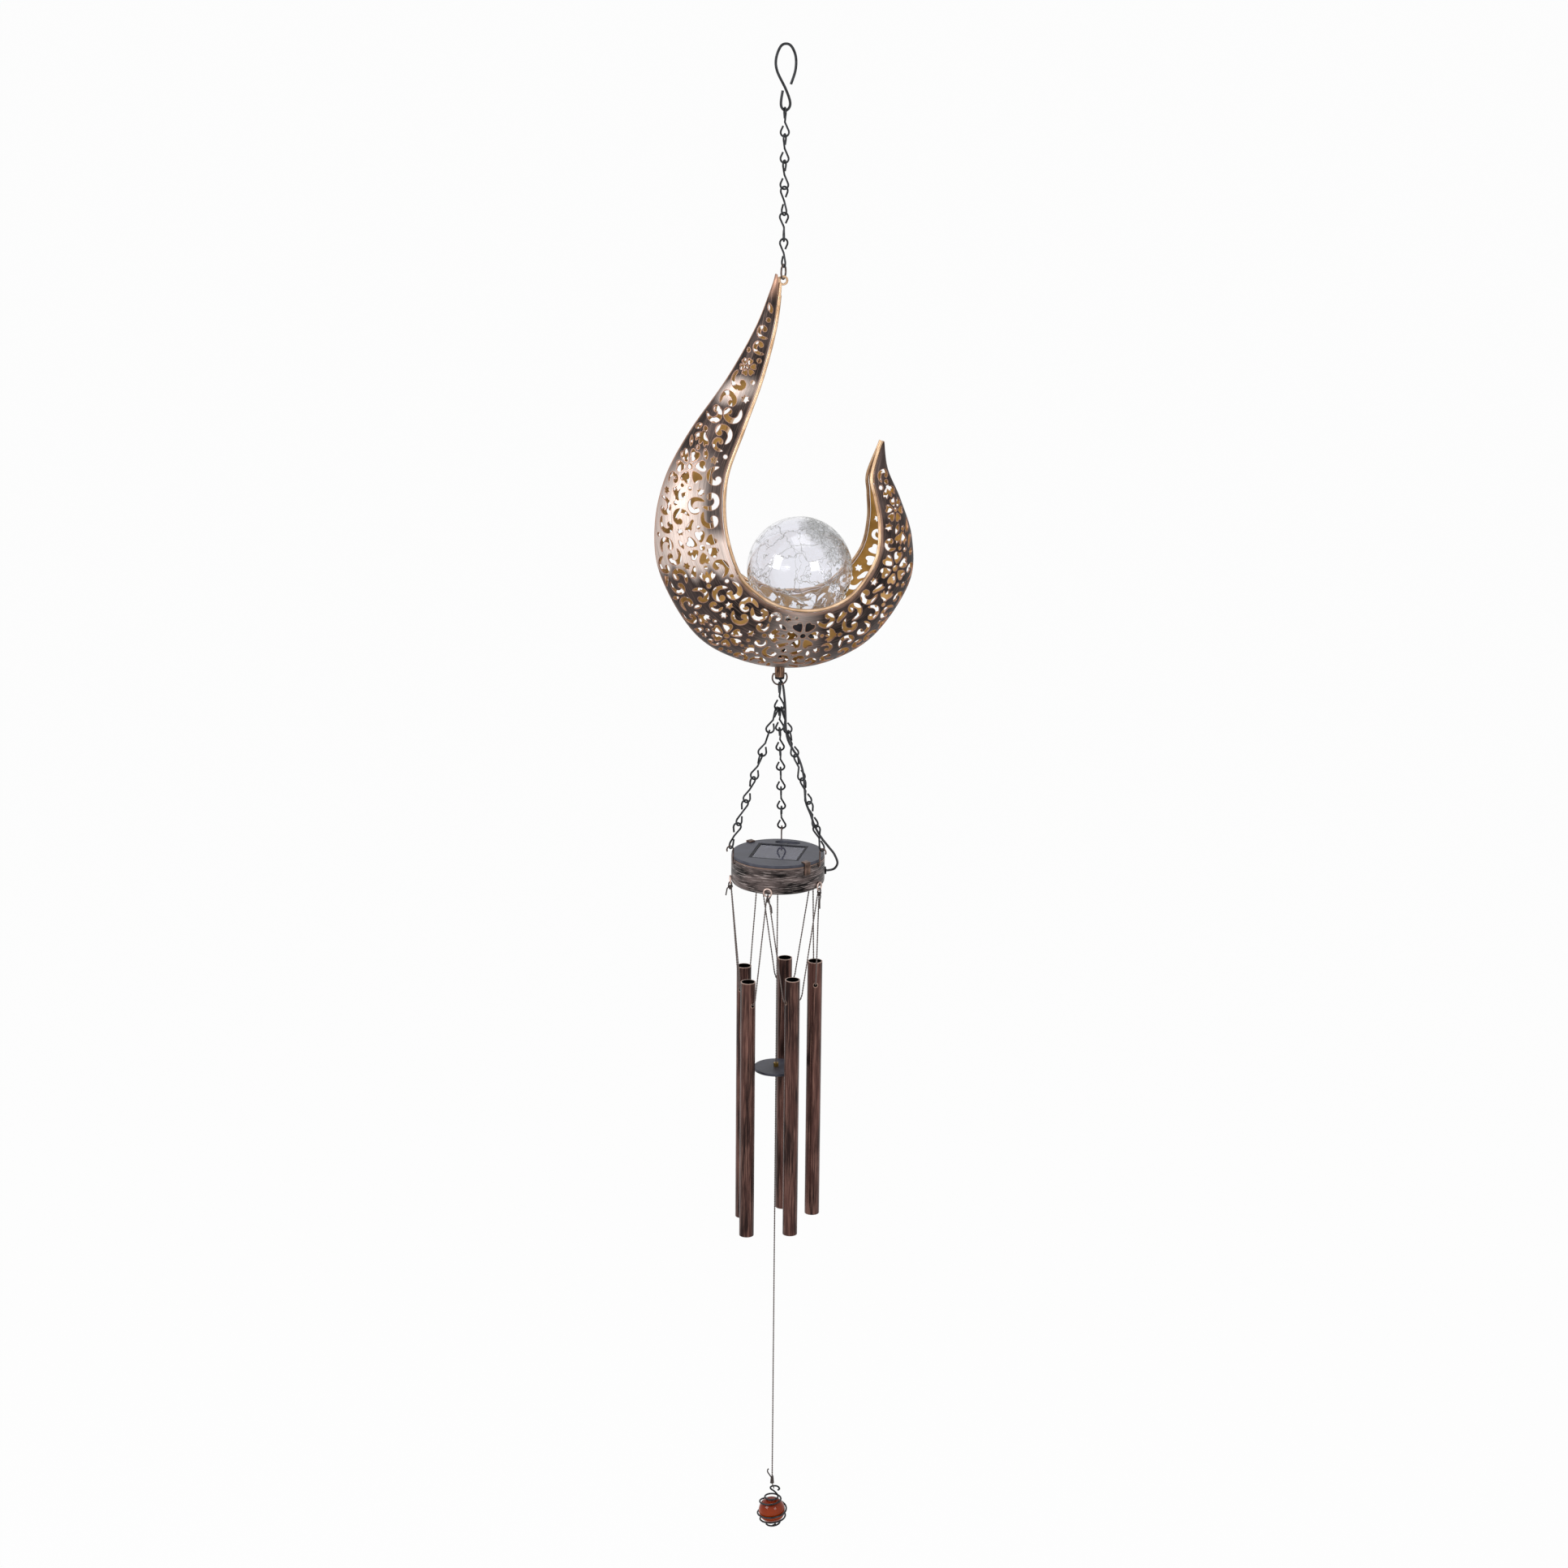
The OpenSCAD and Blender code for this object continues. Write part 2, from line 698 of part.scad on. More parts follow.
module housing_pan() {
  color(bronze)
    difference() {
      rotate_extrude($fn = 96)
        polygon(concat(
          pan_outline(pan_r, pan_bottom, pan_round),
          [[pan_r, pan_top], [pan_r - pan_t, pan_top]],
          [for (i = [6:-1:0]) pan_outline(pan_r - pan_t, pan_bottom + pan_t, pan_round - pan_t)[i + 1]],
          [[0, pan_bottom + pan_t]]
        ));
      for (angle = sling_angle)
        rotate([0, 0, angle])
          translate([pan_r - 3, 0, rim_hole_z])
            rotate([0, 90, 0])
              cylinder(d = rim_hole, h = 6, $fn = wire_fn);
      rotate([0, 0, grommet_angle])
        translate([pan_r - 3, 0, grommet_z])
          rotate([0, 90, 0])
            cylinder(d = grommet_d, h = 6, $fn = wire_fn);
      translate([0, 0, pan_bottom - 1])
        cylinder(d = knot_hole, h = pan_t + 2, $fn = wire_fn);
    }
}

// Lid: a disc on the pan's rim with a window for the cell and a sunk slot for the switch.
// Its own square is turned against the crescent.
lid_turn = -24;
lid_top = pan_top + lid_t;
cell_y = 1;
switch_x = 1.5;
switch_y = cell_y + cell_side / 2 + 4.5;
switch_sink = 1;
sink_len = 15;
sink_w = 5;
slot_len = 6.6;
slot_w = 2.6;
knob_len = 2.8;
knob_w = 2;
switch_travel = 3.2;

// Flat bar with round ends along X
module round_bar(len, w, h) {
  for (side = [-1, 1])
    translate([side * (len - w) / 2, 0, 0])
      cylinder(d = w, h = h, $fn = round_fn);
  translate([-(len - w) / 2, -w / 2, 0])
    cube([len - w, w, h]);
}

module solar_lid() {
  color(black_plastic)
    translate([0, 0, pan_top])
      rotate([0, 0, lid_turn])
        difference() {
          cylinder(r = pan_r - seat, h = lid_t, $fn = 96);
          translate([-cell_side / 2, cell_y - cell_side / 2, lid_t - cell_deep])
            cube([cell_side, cell_side, lid_t]);
          translate([switch_x, switch_y, lid_t - switch_sink])
            round_bar(sink_len, sink_w, lid_t);
          translate([switch_x - slot_len / 2, switch_y - slot_w / 2, -1])
            cube([slot_len, slot_w, lid_t]);
        }
}

cell_t = 0.3;

module solar_cell() {
  side = cell_side - 2 * seat;
  color("#16202e")
    translate([0, 0, lid_top - cell_deep])
      rotate([0, 0, lid_turn])
        translate([-side / 2, cell_y - side / 2, 0])
          cube([side, side, cell_t]);
}

module cell_cover() {
  side = cell_side - 2 * seat;
  color("#9fb4c4", 0.4)
    translate([0, 0, lid_top - cell_deep + cell_t])
      rotate([0, 0, lid_turn])
        translate([-side / 2, cell_y - side / 2, 0])
          cube([side, side, cell_deep - cell_t]);
}

// Two strips folded over the lid's edge
tab_w = 4;
tab_t = 0.7;
tab_low = 7;
tab_over = 3;
tab_angle = [116, 296];

module retaining_tabs() {
  color(bronze)
    for (angle = tab_angle)
      rotate([0, 0, angle]) {
        translate([pan_r + seat, -tab_w / 2, lid_top - tab_low])
          cube([tab_t, tab_w, tab_low + seat + tab_t]);
        translate([pan_r - tab_over, -tab_w / 2, lid_top + seat])
          cube([tab_over + seat + tab_t, tab_w, tab_t]);
      }
}

// Tub under the lid, clear of the rim hooks' tails, with the battery, its contacts and the board
tub_d = pan_d - 2 * (pan_t + hook_tail + 0.5);
tub_wall = 1.2;
tub_bottom = pan_top - tub_h;
battery_y = -9;
battery_z = tub_bottom + tub_wall + seat + battery_d / 2;
board_w = 18;
board_deep = 10;
board_t = 1.2;
board_y = switch_y - 4.5;
switch_h = 3.4;
board_top = pan_top - seat - switch_h;
post_d = 3.6;
post_x = 6.5;
post_y = board_y - board_deep / 2 + 2;
screw_hole = 1.6;

module module_tub() {
  color(black_plastic)
    rotate([0, 0, lid_turn])
      difference() {
        union() {
          difference() {
            translate([0, 0, tub_bottom])
              cylinder(d = tub_d, h = tub_h - seat, $fn = 96);
            translate([0, 0, tub_bottom + tub_wall])
              cylinder(d = tub_d - 2 * tub_wall, h = tub_h, $fn = 96);
          }
          for (side = [-1, 1])
            translate([side * post_x, post_y, tub_bottom + tub_wall / 2])
              cylinder(d = post_d, h = board_top - board_t - tub_bottom - tub_wall / 2, $fn = wire_fn);
        }
        for (side = [-1, 1])
          translate([side * post_x, post_y, tub_bottom + tub_wall + 1])
            cylinder(d = screw_hole, h = tub_h, $fn = wire_fn);
      }
}

module battery() {
  nub = 1;
  color("#3f6f4a")
    rotate([0, 0, lid_turn])
      translate([-battery_len / 2, battery_y, battery_z])
        rotate([0, 90, 0]) {
          cylinder(d = battery_d, h = battery_len - nub, $fn = round_fn);
          cylinder(d = battery_d / 3, h = battery_len, $fn = round_fn);
        }
}

module battery_contacts() {
  contact_t = 0.5;
  contact_w = 6;
  color("#b9bcc0")
    rotate([0, 0, lid_turn])
      for (side = [-1, 1])
        translate([side * (battery_len / 2 + seat + contact_t / 2), battery_y, 0])
          translate([-contact_t / 2, -contact_w / 2, tub_bottom + tub_wall])
            cube([contact_t, contact_w, battery_d - 1]);
}

module circuit_board() {
  color("#2c6b3f")
    rotate([0, 0, lid_turn])
      difference() {
        translate([-board_w / 2, board_y - board_deep / 2, board_top - board_t])
          cube([board_w, board_deep, board_t]);
        for (side = [-1, 1])
          translate([side * post_x, post_y, board_top - board_t - 1])
            cylinder(d = screw_hole + 0.4, h = board_t + 2, $fn = wire_fn);
      }
}

module board_screws() {
  head_d = 3;
  head_h = 1;
  shank = 4;
  color("#b9bcc0")
    rotate([0, 0, lid_turn])
      for (side = [-1, 1])
        translate([side * post_x, post_y, board_top]) {
          cylinder(d = head_d, h = head_h, $fn = wire_fn);
          translate([0, 0, -board_t - shank])
            cylinder(d = screw_hole - 2 * seat, h = board_t + shank, $fn = wire_fn);
        }
}

// Slide switch on the board, its knob in the lid's slot
module switch_body() {
  body_len = 8.6;
  body_w = 3.4;
  color("#c9ccd0")
    rotate([0, 0, lid_turn])
      translate([switch_x - body_len / 2, switch_y - body_w / 2, board_top])
        cube([body_len, body_w, switch_h]);
}

knob_start = switch_x - switch_travel / 2;

module switch_slider() {
  knob_h = lid_t - 0.6;
  color("#101012")
    rotate([0, 0, lid_turn])
      translate([knob_start - knob_len / 2, switch_y - knob_w / 2, pan_top])
        cube([knob_len, knob_w, knob_h]);
}

// Grommet in the pan's wall where the cable goes in
module cable_grommet() {
  collar_d = grommet_d + 1.4;
  collar_t = 0.8;
  color(black_plastic)
    rotate([0, 0, grommet_angle])
      translate([pan_r - pan_t - seat, 0, grommet_z])
        rotate([0, 90, 0])
          difference() {
            union() {
              cylinder(d = grommet_d - 2 * seat, h = pan_t + 3 * seat + collar_t, $fn = wire_fn);
              translate([0, 0, pan_t + 3 * seat])
                cylinder(d = collar_d, h = collar_t, $fn = wire_fn);
            }
            translate([0, 0, -1])
              cylinder(d = cable_d + 2 * seat, h = 6, $fn = wire_fn);
          }
}

// Lamp cable, from the boss past the hook and down the right chain, in a loop, into the pan.
// Its points are across, back and up from the mouth of the boss.
cable_route = [
  [0, 0, 1.6], [0, 0, 0.2], [0, 0, -1.4], [0.9, 0.8, -2.8], [1.9, 1.6, -4.6], [2.7, 1.9, -7.6],
  [3.3, 1.8, -12.6], [3.8, 1.6, -18.6], [4, 1.2, -25.6], [4.2, 0.6, -32.6], [5.2, -1, -38.6],
  [8.2, -2.4, -44.6], [10.6, -3, -48.1], [12.6, -4.4, -53.6], [13.7, -6, -59.6], [14, -8, -67.6],
  [14.4, -9.8, -74.6], [17, -11, -81.6], [19.2, -11.5, -88.1], [23.2, -11, -95.6],
  [28.4, -9.5, -102.6], [32.2, -7.5, -107.6], [34.8, -5.5, -113.1], [34.9, -4.2, -116.2],
  [33.4, -2.7, -118.8], [30.4, -2.1, -119.6], [28.6, -2, -119.6], [26.9, -1.9, -119.6]
];

module lamp_cable() {
  color(black_plastic)
    translate([0, 0, boss_bottom])
      wire_along(spline(cable_route, 2), cable_d, 8);
}

// Cord eyes: wire rings soldered flat against the pan's lower edge
eye_r = (eye_d - eye_wire) / 2;
eye_out = pan_r + seat + eye_wire / 2;
eye_z = pan_bottom + pan_round - 0.6;
eye_low = eye_z - eye_d / 2;

module cord_eyes() {
  color(copper)
    for (k = [0:tubes - 1])
      rotate([0, 0, eye_angle + 360 * k / tubes])
        translate([eye_out, 0, eye_z])
          rotate([0, 90, 0])
            rotate_extrude($fn = round_fn)
              translate([eye_r, 0])
                circle(d = eye_wire, $fn = wire_fn);
}

// Tube cords: each runs from one eye through its tube's hole and up to the next eye
cord_knot_d = 1.4;
cord_side = cord_knot_d / 2 + play / 2;
cord_top = eye_low - play - cord_knot_d / 2;
tube_ring_r = eye_out * cos(180 / tubes);
eye_half = eye_out * sin(180 / tubes);
hang_z = eye_low - cord_drop;
function tube_cord_z(k) = hang_z - tube_low[k];

// A tube and its cord, with the tube's hole along Y at the tube's own place
module at_tube(k) {
  rotate([0, 0, tube_angle + 360 * k / tubes])
    translate([tube_ring_r, 0, 0])
      children();
}

module tube_cord(k) {
  z = tube_cord_z(k);
  top = eye_half - cord_side;
  side = tube_d / 2 + 0.8;
  path = [
    [0, -top, cord_top], [0, -side - 1.6, z + 7], [0, -side - 0.5, z + 1.4], [0, -side + 0.9, z],
    [0, side - 0.9, z], [0, side + 0.5, z + 1.4], [0, side + 1.6, z + 7], [0, top, cord_top]
  ];
  color(cord_brown)
    at_tube(k) {
      wire_along(path, cord_d, 8);
      for (end = [-1, 1])
        translate([0, end * top, cord_top])
          sphere(d = cord_knot_d, $fn = wire_fn);
    }
}

// Chime tubes: the top of the hole hangs on the cord
module chime_tube(k) {
  hole_z = tube_cord_z(k) - (tube_hole - cord_d) / 2 + play;
  color(bronze)
    at_tube(k)
      difference() {
        translate([0, 0, hole_z + tube_hole_drop - tube_len])
          cylinder(d = tube_d, h = tube_len, $fn = round_fn);
        translate([0, 0, hole_z + tube_hole_drop - tube_len - 1])
          cylinder(d = tube_d - 2 * tube_wall, h = tube_len + 2, $fn = round_fn);
        translate([0, -tube_d, hole_z])
          rotate([-90, 0, 0])
            cylinder(d = tube_hole, h = 2 * tube_d, $fn = wire_fn);
      }
}

// Striker's knot: a stop in the pan, a stem through the pan's hole and a knot below it
knot_d = 2.6;
knot_z = pan_bottom - play - knot_d / 2;

module striker_knot() {
  stop_z = pan_bottom + pan_t + play;
  stop_h = 1.2;
  color(cord_brown) {
    translate([0, 0, knot_z])
      sphere(d = knot_d, $fn = wire_fn);
    translate([0, 0, knot_z])
      cylinder(d = cord_d, h = stop_z - knot_z + stop_h / 2, $fn = wire_fn);
    translate([0, 0, stop_z])
      cylinder(d = knot_hole + 1.2, h = stop_h, $fn = wire_fn);
  }
}

striker_cord_top = knot_z - knot_d / 2 - play;
striker_top = striker_cord_top - striker_drop;
striker_bore = cord_d + 2 * seat;
bead_d = 3;
bead_h = 2.4;

module striker_cord() {
  color(cord_brown)
    translate([0, 0, striker_top - striker_t - 0.6])
      cylinder(d = cord_d, h = striker_drop + striker_t + 0.6, $fn = wire_fn);
}

module striker_disc() {
  color(black_plastic)
    translate([0, 0, striker_top - striker_t])
      difference() {
        cylinder(d = striker_d, h = striker_t, $fn = 96);
        translate([0, 0, -1])
          cylinder(d = striker_bore, h = striker_t + 2, $fn = wire_fn);
      }
}

module striker_bead() {
  color("#b88a3c")
    translate([0, 0, striker_top])
      difference() {
        cylinder(d = bead_d, h = bead_h, $fn = round_fn);
        translate([0, 0, -1])
          cylinder(d = striker_bore, h = bead_h + 2, $fn = wire_fn);
      }
}

// Cord from the striker down to the marble's hook, with a knot at each end
sail_knot_d = 2.2;
sail_top = striker_top - striker_t - 0.6 - play - sail_knot_d / 2;
sail_low = sail_top - sail_len;

module sail_cord() {
  color(cord_brown)
    union() {
      translate([0, 0, sail_low])
        cylinder(d = cord_d, h = sail_len, $fn = wire_fn);
      for (z = [sail_low, sail_top])
        translate([0, 0, z])
          sphere(d = sail_knot_d, $fn = wire_fn);
    }
}

// Marble in its cage: one wire winds round it from a small coil below to an open ring above,
// then bends to an S whose top hangs on the cord
cage_r = marble_d / 2 + play + cage_wire / 2;
cage_half = cage_r + 1.05;
// How far down from the top the wire is, in degrees, each time that it passes the front
cage_fall = [168, 152, 117, 93, 44, 26, 24];
cage_turns = 5.25;
cage_rings = 24;
cage_s = [
  [3.2, 0, 1.4], [1.4, 0, 3.6], [-0.7, 0, 5.4], [-0.9, 0, 6.7], [0.4, 0, 7.3], [3.2, 0, 6.9],
  [4.8, 0, 5], [3.6, 0, 3.9]
];
cage_top = sail_low - sail_knot_d / 2 - play - cage_wire / 2;

function cage_point(turns) =
  let (
    fall = spline_at(cage_fall, turns),
    angle = 360 * turns - 90
  )
  [cage_r * sin(fall) * cos(angle), cage_r * sin(fall) * sin(angle), cage_half * cos(fall)];

cage_coil = [for (i = [0:cage_turns * cage_rings]) cage_point(i / cage_rings)];
cage_high = cage_coil[len(cage_coil) - 1].z;
cage_curl = spline(
  concat([cage_coil[len(cage_coil) - 1]], [for (q = cage_s) q + [0, 0, cage_high]]), 5);
cage_path = concat(cage_coil, [for (i = [2:len(cage_curl) - 1]) cage_curl[i]]);
marble_z = cage_top - cage_s[4].z - cage_high;

// Least gap between stretches of the cage's wire that are not neighbours along it
cage_gap = min([
  for (i = [0:len(cage_path) - 1])
    for (j = [i + 11:1:len(cage_path) - 1])
      norm(cage_path[i] - cage_path[j])
]) - cage_wire;
echo(cage_gap = cage_gap);

module marble() {
  color(amber)
    translate([0, 0, marble_z])
      sphere(d = marble_d, $fn = 64);
}

module marble_cage() {
  color(black_wire)
    translate([0, 0, marble_z])
      wire_along(cage_path, cage_wire, 6);
}

hanging_hook();
for (i = [1:links])
  chain_link(i);
tip_ring();
crescent_front();
crescent_back();
rim_wire_front();
rim_wire_back();
tip_lug();
glass_globe();
globe_plug();
lamp_led();
lamp_cup();
lamp_bracket();
lamp_lead();
boss();
cable_gland();
boss_ring();
sling_hook();
for (k = [0:len(sling_name) - 1])
  sling_chain(k);
rim_hooks();
lamp_cable();
housing_pan();
solar_lid();
solar_cell();
cell_cover();
retaining_tabs();
module_tub();
battery();
battery_contacts();
circuit_board();
board_screws();
switch_body();
switch_slider();
cable_grommet();
cord_eyes();
for (k = [0:tubes - 1])
  tube_cord(k);
for (k = [0:tubes - 1])
  chime_tube(k);
striker_knot();
striker_cord();
striker_disc();
striker_bead();
sail_cord();
marble();
marble_cage();
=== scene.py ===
# %% [markdown]
# # A solar wind chime
# The real chime is a hanging lantern: two pierced and dished bronze sheets make a crescent, a
# crackle glass globe sits in it, and a round solar housing below carries five tubes, a striker and
# a marble. The solids come from the CAD model. This lesson gives them their finish, and models
# what the solids leave plain: the pierced sheets, the twisted cords and the glass.

import json
from math import cos, pi, radians, sin

import bmesh
import bpy
import numpy as np
from mathutils import Matrix, Vector, kdtree
from mathutils.geometry import delaunay_2d_cdt


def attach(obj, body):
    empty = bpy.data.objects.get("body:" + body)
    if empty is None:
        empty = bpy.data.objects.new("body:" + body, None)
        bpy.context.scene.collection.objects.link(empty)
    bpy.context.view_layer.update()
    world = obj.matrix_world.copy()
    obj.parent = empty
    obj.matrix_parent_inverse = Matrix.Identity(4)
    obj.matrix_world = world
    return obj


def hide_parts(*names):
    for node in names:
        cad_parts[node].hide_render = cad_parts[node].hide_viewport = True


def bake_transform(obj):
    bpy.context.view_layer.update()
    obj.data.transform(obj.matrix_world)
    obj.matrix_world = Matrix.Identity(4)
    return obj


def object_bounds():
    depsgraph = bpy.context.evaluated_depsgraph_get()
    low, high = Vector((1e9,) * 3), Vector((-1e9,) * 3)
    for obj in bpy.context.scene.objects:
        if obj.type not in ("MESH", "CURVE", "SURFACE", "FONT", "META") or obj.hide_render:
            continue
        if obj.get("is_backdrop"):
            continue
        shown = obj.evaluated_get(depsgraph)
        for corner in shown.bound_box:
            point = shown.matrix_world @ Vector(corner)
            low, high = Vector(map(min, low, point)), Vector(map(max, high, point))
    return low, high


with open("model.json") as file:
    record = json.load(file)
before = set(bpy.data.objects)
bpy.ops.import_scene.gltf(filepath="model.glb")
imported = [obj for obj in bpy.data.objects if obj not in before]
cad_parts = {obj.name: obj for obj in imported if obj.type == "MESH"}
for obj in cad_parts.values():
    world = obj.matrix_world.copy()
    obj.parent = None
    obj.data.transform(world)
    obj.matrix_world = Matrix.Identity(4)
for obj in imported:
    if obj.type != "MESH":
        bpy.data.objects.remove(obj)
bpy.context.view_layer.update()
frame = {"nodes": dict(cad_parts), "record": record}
MM = 0.001
scene = bpy.context.scene
scene.view_settings.view_transform = "Standard"
body_of = {node: body for body, nodes in frame["record"]["behaviour"]["bodies"].items()
           for node in nodes}

# %% [markdown]
# ## Camera
# The chime was seen from a little above, a little to the left and from under two metres away. A
# camera could be set by eye. Here it was fitted to points that can be named in both pictures, so
# that outlines can be compared: the focal length is about twice the picture's width, and a small
# roll leans the hanging line as it leans there.

# %% Camera
IMAGE_PX, FOCAL_PX, LINE_OFF_PX = 1932, 3850, 6.6
VIEW_TURN, VIEW_FALL, VIEW_ROLL = radians(12), radians(16), radians(0.54)
CAMERA_AT = (-0.3676, -1.7294, 0.0832)


def looking(along):
    """Turn of a camera or lamp that looks along a direction."""
    return along.to_track_quat("-Z", "Y").to_matrix().to_4x4()


camera_data = bpy.data.cameras.new("photo_camera")
camera_data.sensor_width = 36
camera_data.lens = camera_data.sensor_width * FOCAL_PX / IMAGE_PX
camera_data.shift_x = LINE_OFF_PX / IMAGE_PX
camera_data.clip_end = 200
camera = bpy.data.objects.new("photo_camera", camera_data)
view = Vector((sin(VIEW_TURN) * cos(VIEW_FALL), cos(VIEW_TURN) * cos(VIEW_FALL), -sin(VIEW_FALL)))
camera.matrix_world = (Matrix.Translation(CAMERA_AT) @ looking(view)
                       @ Matrix.Rotation(VIEW_ROLL, 4, "Z"))
scene.collection.objects.link(camera)
scene.camera = camera
print("lens", round(camera_data.lens, 2), "mm")

# %% [markdown]
# ## Helpers for materials
# One function turns a written colour into the linear numbers that Blender mixes, and one adds a
# node with its settings and inputs. An input can be a number, a written colour, a socket, or a
# node, whose first output is then linked. Inputs are given in the order in which the node shows
# them, so a Map Range takes the value, from, from, to and to. Nodes could be added and linked one
# by one, but with these helpers each finish below is a short list.

# %% Colour and node helpers
def colour(code):
    """Linear colour of an sRGB hex code."""
    parts = [int(code[i:i + 2], 16) / 255 for i in (1, 3, 5)]
    return (*[c / 12.92 if c <= 0.04045 else ((c + 0.055) / 1.055) ** 2.4 for c in parts], 1.0)


def fill(socket, value):
    """Sets an input, or links it where the value is a node or a socket."""
    if isinstance(value, bpy.types.Node):
        value = next(out for out in value.outputs if out.enabled)
    if isinstance(value, bpy.types.NodeSocket):
        socket.id_data.links.new(value, socket)
    else:
        socket.default_value = colour(value) if isinstance(value, str) else value


def feed(node, **named):
    """Fills a node's inputs by name; an underscore stands for a space."""
    for name, value in named.items():
        fill(node.inputs[name.replace("_", " ")], value)


def add(tree, kind, *inputs, **named):
    """Adds a node. Values fill its inputs in the order shown or, with a capital, by name."""
    node = tree.nodes.new("ShaderNode" + kind)
    for name, value in named.items():
        if name.islower():
            setattr(node, name, value)
        else:
            feed(node, **{name: value})
    for socket, value in zip([shown for shown in node.inputs if shown.enabled], inputs):
        fill(socket, value)
    return node


def new_material(name, source="Object"):
    """An empty material, its node tree, its surface shader and its places from a source."""
    material = bpy.data.materials.new(name)
    material.use_nodes = True
    tree = material.node_tree
    print("material:", name)
    return material, tree, tree.nodes["Principled BSDF"], add(tree, "TexCoord").outputs[source]


print("#808080 is", round(colour("#808080")[0], 3), "in linear light")

# %% [markdown]
# ## Helpers for pieces
# Wires and cords are swept along lines of points in millimetres. The lines repeat the CAD model's
# points, and the same smooth curve runs through them, so a swept piece lies where its solid is.
# The sweep is a curve with a round section, because Blender keeps the section square to the curve
# by itself; it is made a mesh at once. A CAD solid whose shape is right is copied, its loose
# triangles are merged, and the copy is shaded smooth.

# %% Line and sweep helpers
def spline_at(points, u):
    """Points at u along a smooth curve that passes point k at u = k."""
    last = len(points) - 1
    i = np.clip(np.floor(u).astype(int), 0, last - 1)
    f = (u - i)[..., None]
    a, b, c, d = (points[np.clip(i + k, 0, last)] for k in (-1, 0, 1, 2))
    return (2 * b + (c - a) * f + (2 * a - 5 * b + 4 * c - d) * f**2
            + (3 * b - a - 3 * c + d) * f**3) / 2


def smooth_line(points, steps):
    """A smooth line through all the given points, with that many steps between them."""
    points = np.asarray(points, float)
    last = len(points) - 1
    return spline_at(points, np.linspace(0, last, last * steps + 1))


def to_mesh(bm, name):
    """Ends a bmesh and gives its mesh."""
    mesh = bpy.data.meshes.new(name)
    bm.to_mesh(mesh)
    bm.free()
    return mesh


def sweep(name, line, diameter, sides=12, closed=False):
    """Round tube along a line in millimetres, as a mesh."""
    curve = bpy.data.curves.new(name, "CURVE")
    curve.dimensions = "3D"
    curve.bevel_depth = diameter / 2 * MM
    curve.bevel_resolution = (sides - 4) // 2
    curve.use_fill_caps = not closed
    spline = curve.splines.new("POLY")
    spline.points.add(len(line) - 1)
    spots = np.column_stack([np.asarray(line) * MM, np.ones(len(line))])
    spline.points.foreach_set("co", spots.ravel())
    spline.use_cyclic_u = closed
    maker = bpy.data.objects.new(name, curve)
    scene.collection.objects.link(maker)
    made = maker.evaluated_get(bpy.context.evaluated_depsgraph_get())
    mesh = bpy.data.meshes.new_from_object(made)
    bpy.data.objects.remove(maker)
    bpy.data.curves.remove(curve)
    mesh.name = name
    return mesh


def joined(name, meshes):
    """Several meshes as one."""
    bm = bmesh.new()
    for mesh in meshes:
        bm.from_mesh(mesh)
    mesh = to_mesh(bm, name)
    mesh.shade_smooth()
    return mesh


def settle(mesh, body, materials, slot, *nodes):
    """Puts a mesh on its body with its finish; nodes are the CAD nodes that it stands for."""
    piece = bpy.data.objects.new(mesh.name, mesh)
    scene.collection.objects.link(piece)
    mesh.materials.clear()
    for material in materials if isinstance(materials, list) else [materials]:
        mesh.materials.append(material)
    if body:
        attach(piece, body)
    if nodes:
        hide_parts(*nodes)
    print("piece:", piece.name, len(mesh.polygons), "faces")
    return piece


SHARP, FLAT, MERGE_MM = radians(35), radians(0.5), 0.002


def smooth_copy(node, material, slot, edge=0.0):
    """A CAD node's own shape, merged and shaded smooth, its edges eased by so many mm."""
    bm = bmesh.new()
    bm.from_mesh(frame["nodes"][node].data)
    bmesh.ops.remove_doubles(bm, verts=bm.verts, dist=MERGE_MM * MM)
    if edge:
        bmesh.ops.dissolve_limit(bm, angle_limit=FLAT, verts=bm.verts, edges=bm.edges)
    mesh = to_mesh(bm, node + "_finished")
    mesh.shade_smooth()
    mesh.set_sharp_from_angle(angle=SHARP)
    piece = settle(mesh, body_of[node], material, slot, node)
    if edge:
        ease = piece.modifiers.new("eased_edge", "BEVEL")
        ease.width, ease.segments = edge * MM, 2
        ease.limit_method, ease.angle_limit = "ANGLE", SHARP
    return piece


# %% [markdown]
# ## Cord and cable finish
# The cords are waxed polyester twine, two plies twisted, and the cable is a lead in soft vinyl.
# One plain colour would make them look like wire, so the tone changes along them, and a fine bump
# stands for the fibres. Real fibres are a few hundredths of a millimetre thick, too fine to show,
# and are drawn about ten times coarser.

# %% Cord and cable finish
def cordage(name, dark, light, tone_mm, fibre_mm, roughness):
    """Twine: its tone changes over one length in mm, its fuzz over another."""
    material, tree, shader, place = new_material(name)
    stretch, fibre = (add(tree, "TexNoise", place, 1 / (mm * MM)) for mm in (tone_mm, fibre_mm))
    tone = add(tree, "Mix", stretch, dark, light, data_type="RGBA")
    fuzz = add(tree, "Bump", Strength=0.5, Distance=0.05 * MM, Height=fibre)
    feed(shader, Base_Color=tone, Roughness=roughness, Normal=fuzz)
    return material


# Waxed twine is dull, and it darkens in uneven stretches where fingers drew the knots
twisted_cord = cordage("waxed polyester cord", "#4d423f", "#7a6e6a", 9, 0.25, 0.72)
# Pulled tight, the knots hold more wax and shade: darker, and speckled by the fibres themselves
knot_cord = cordage("darkened knotted cord", "#2a2321", "#4d423f", 0.3, 0.3, 0.7)
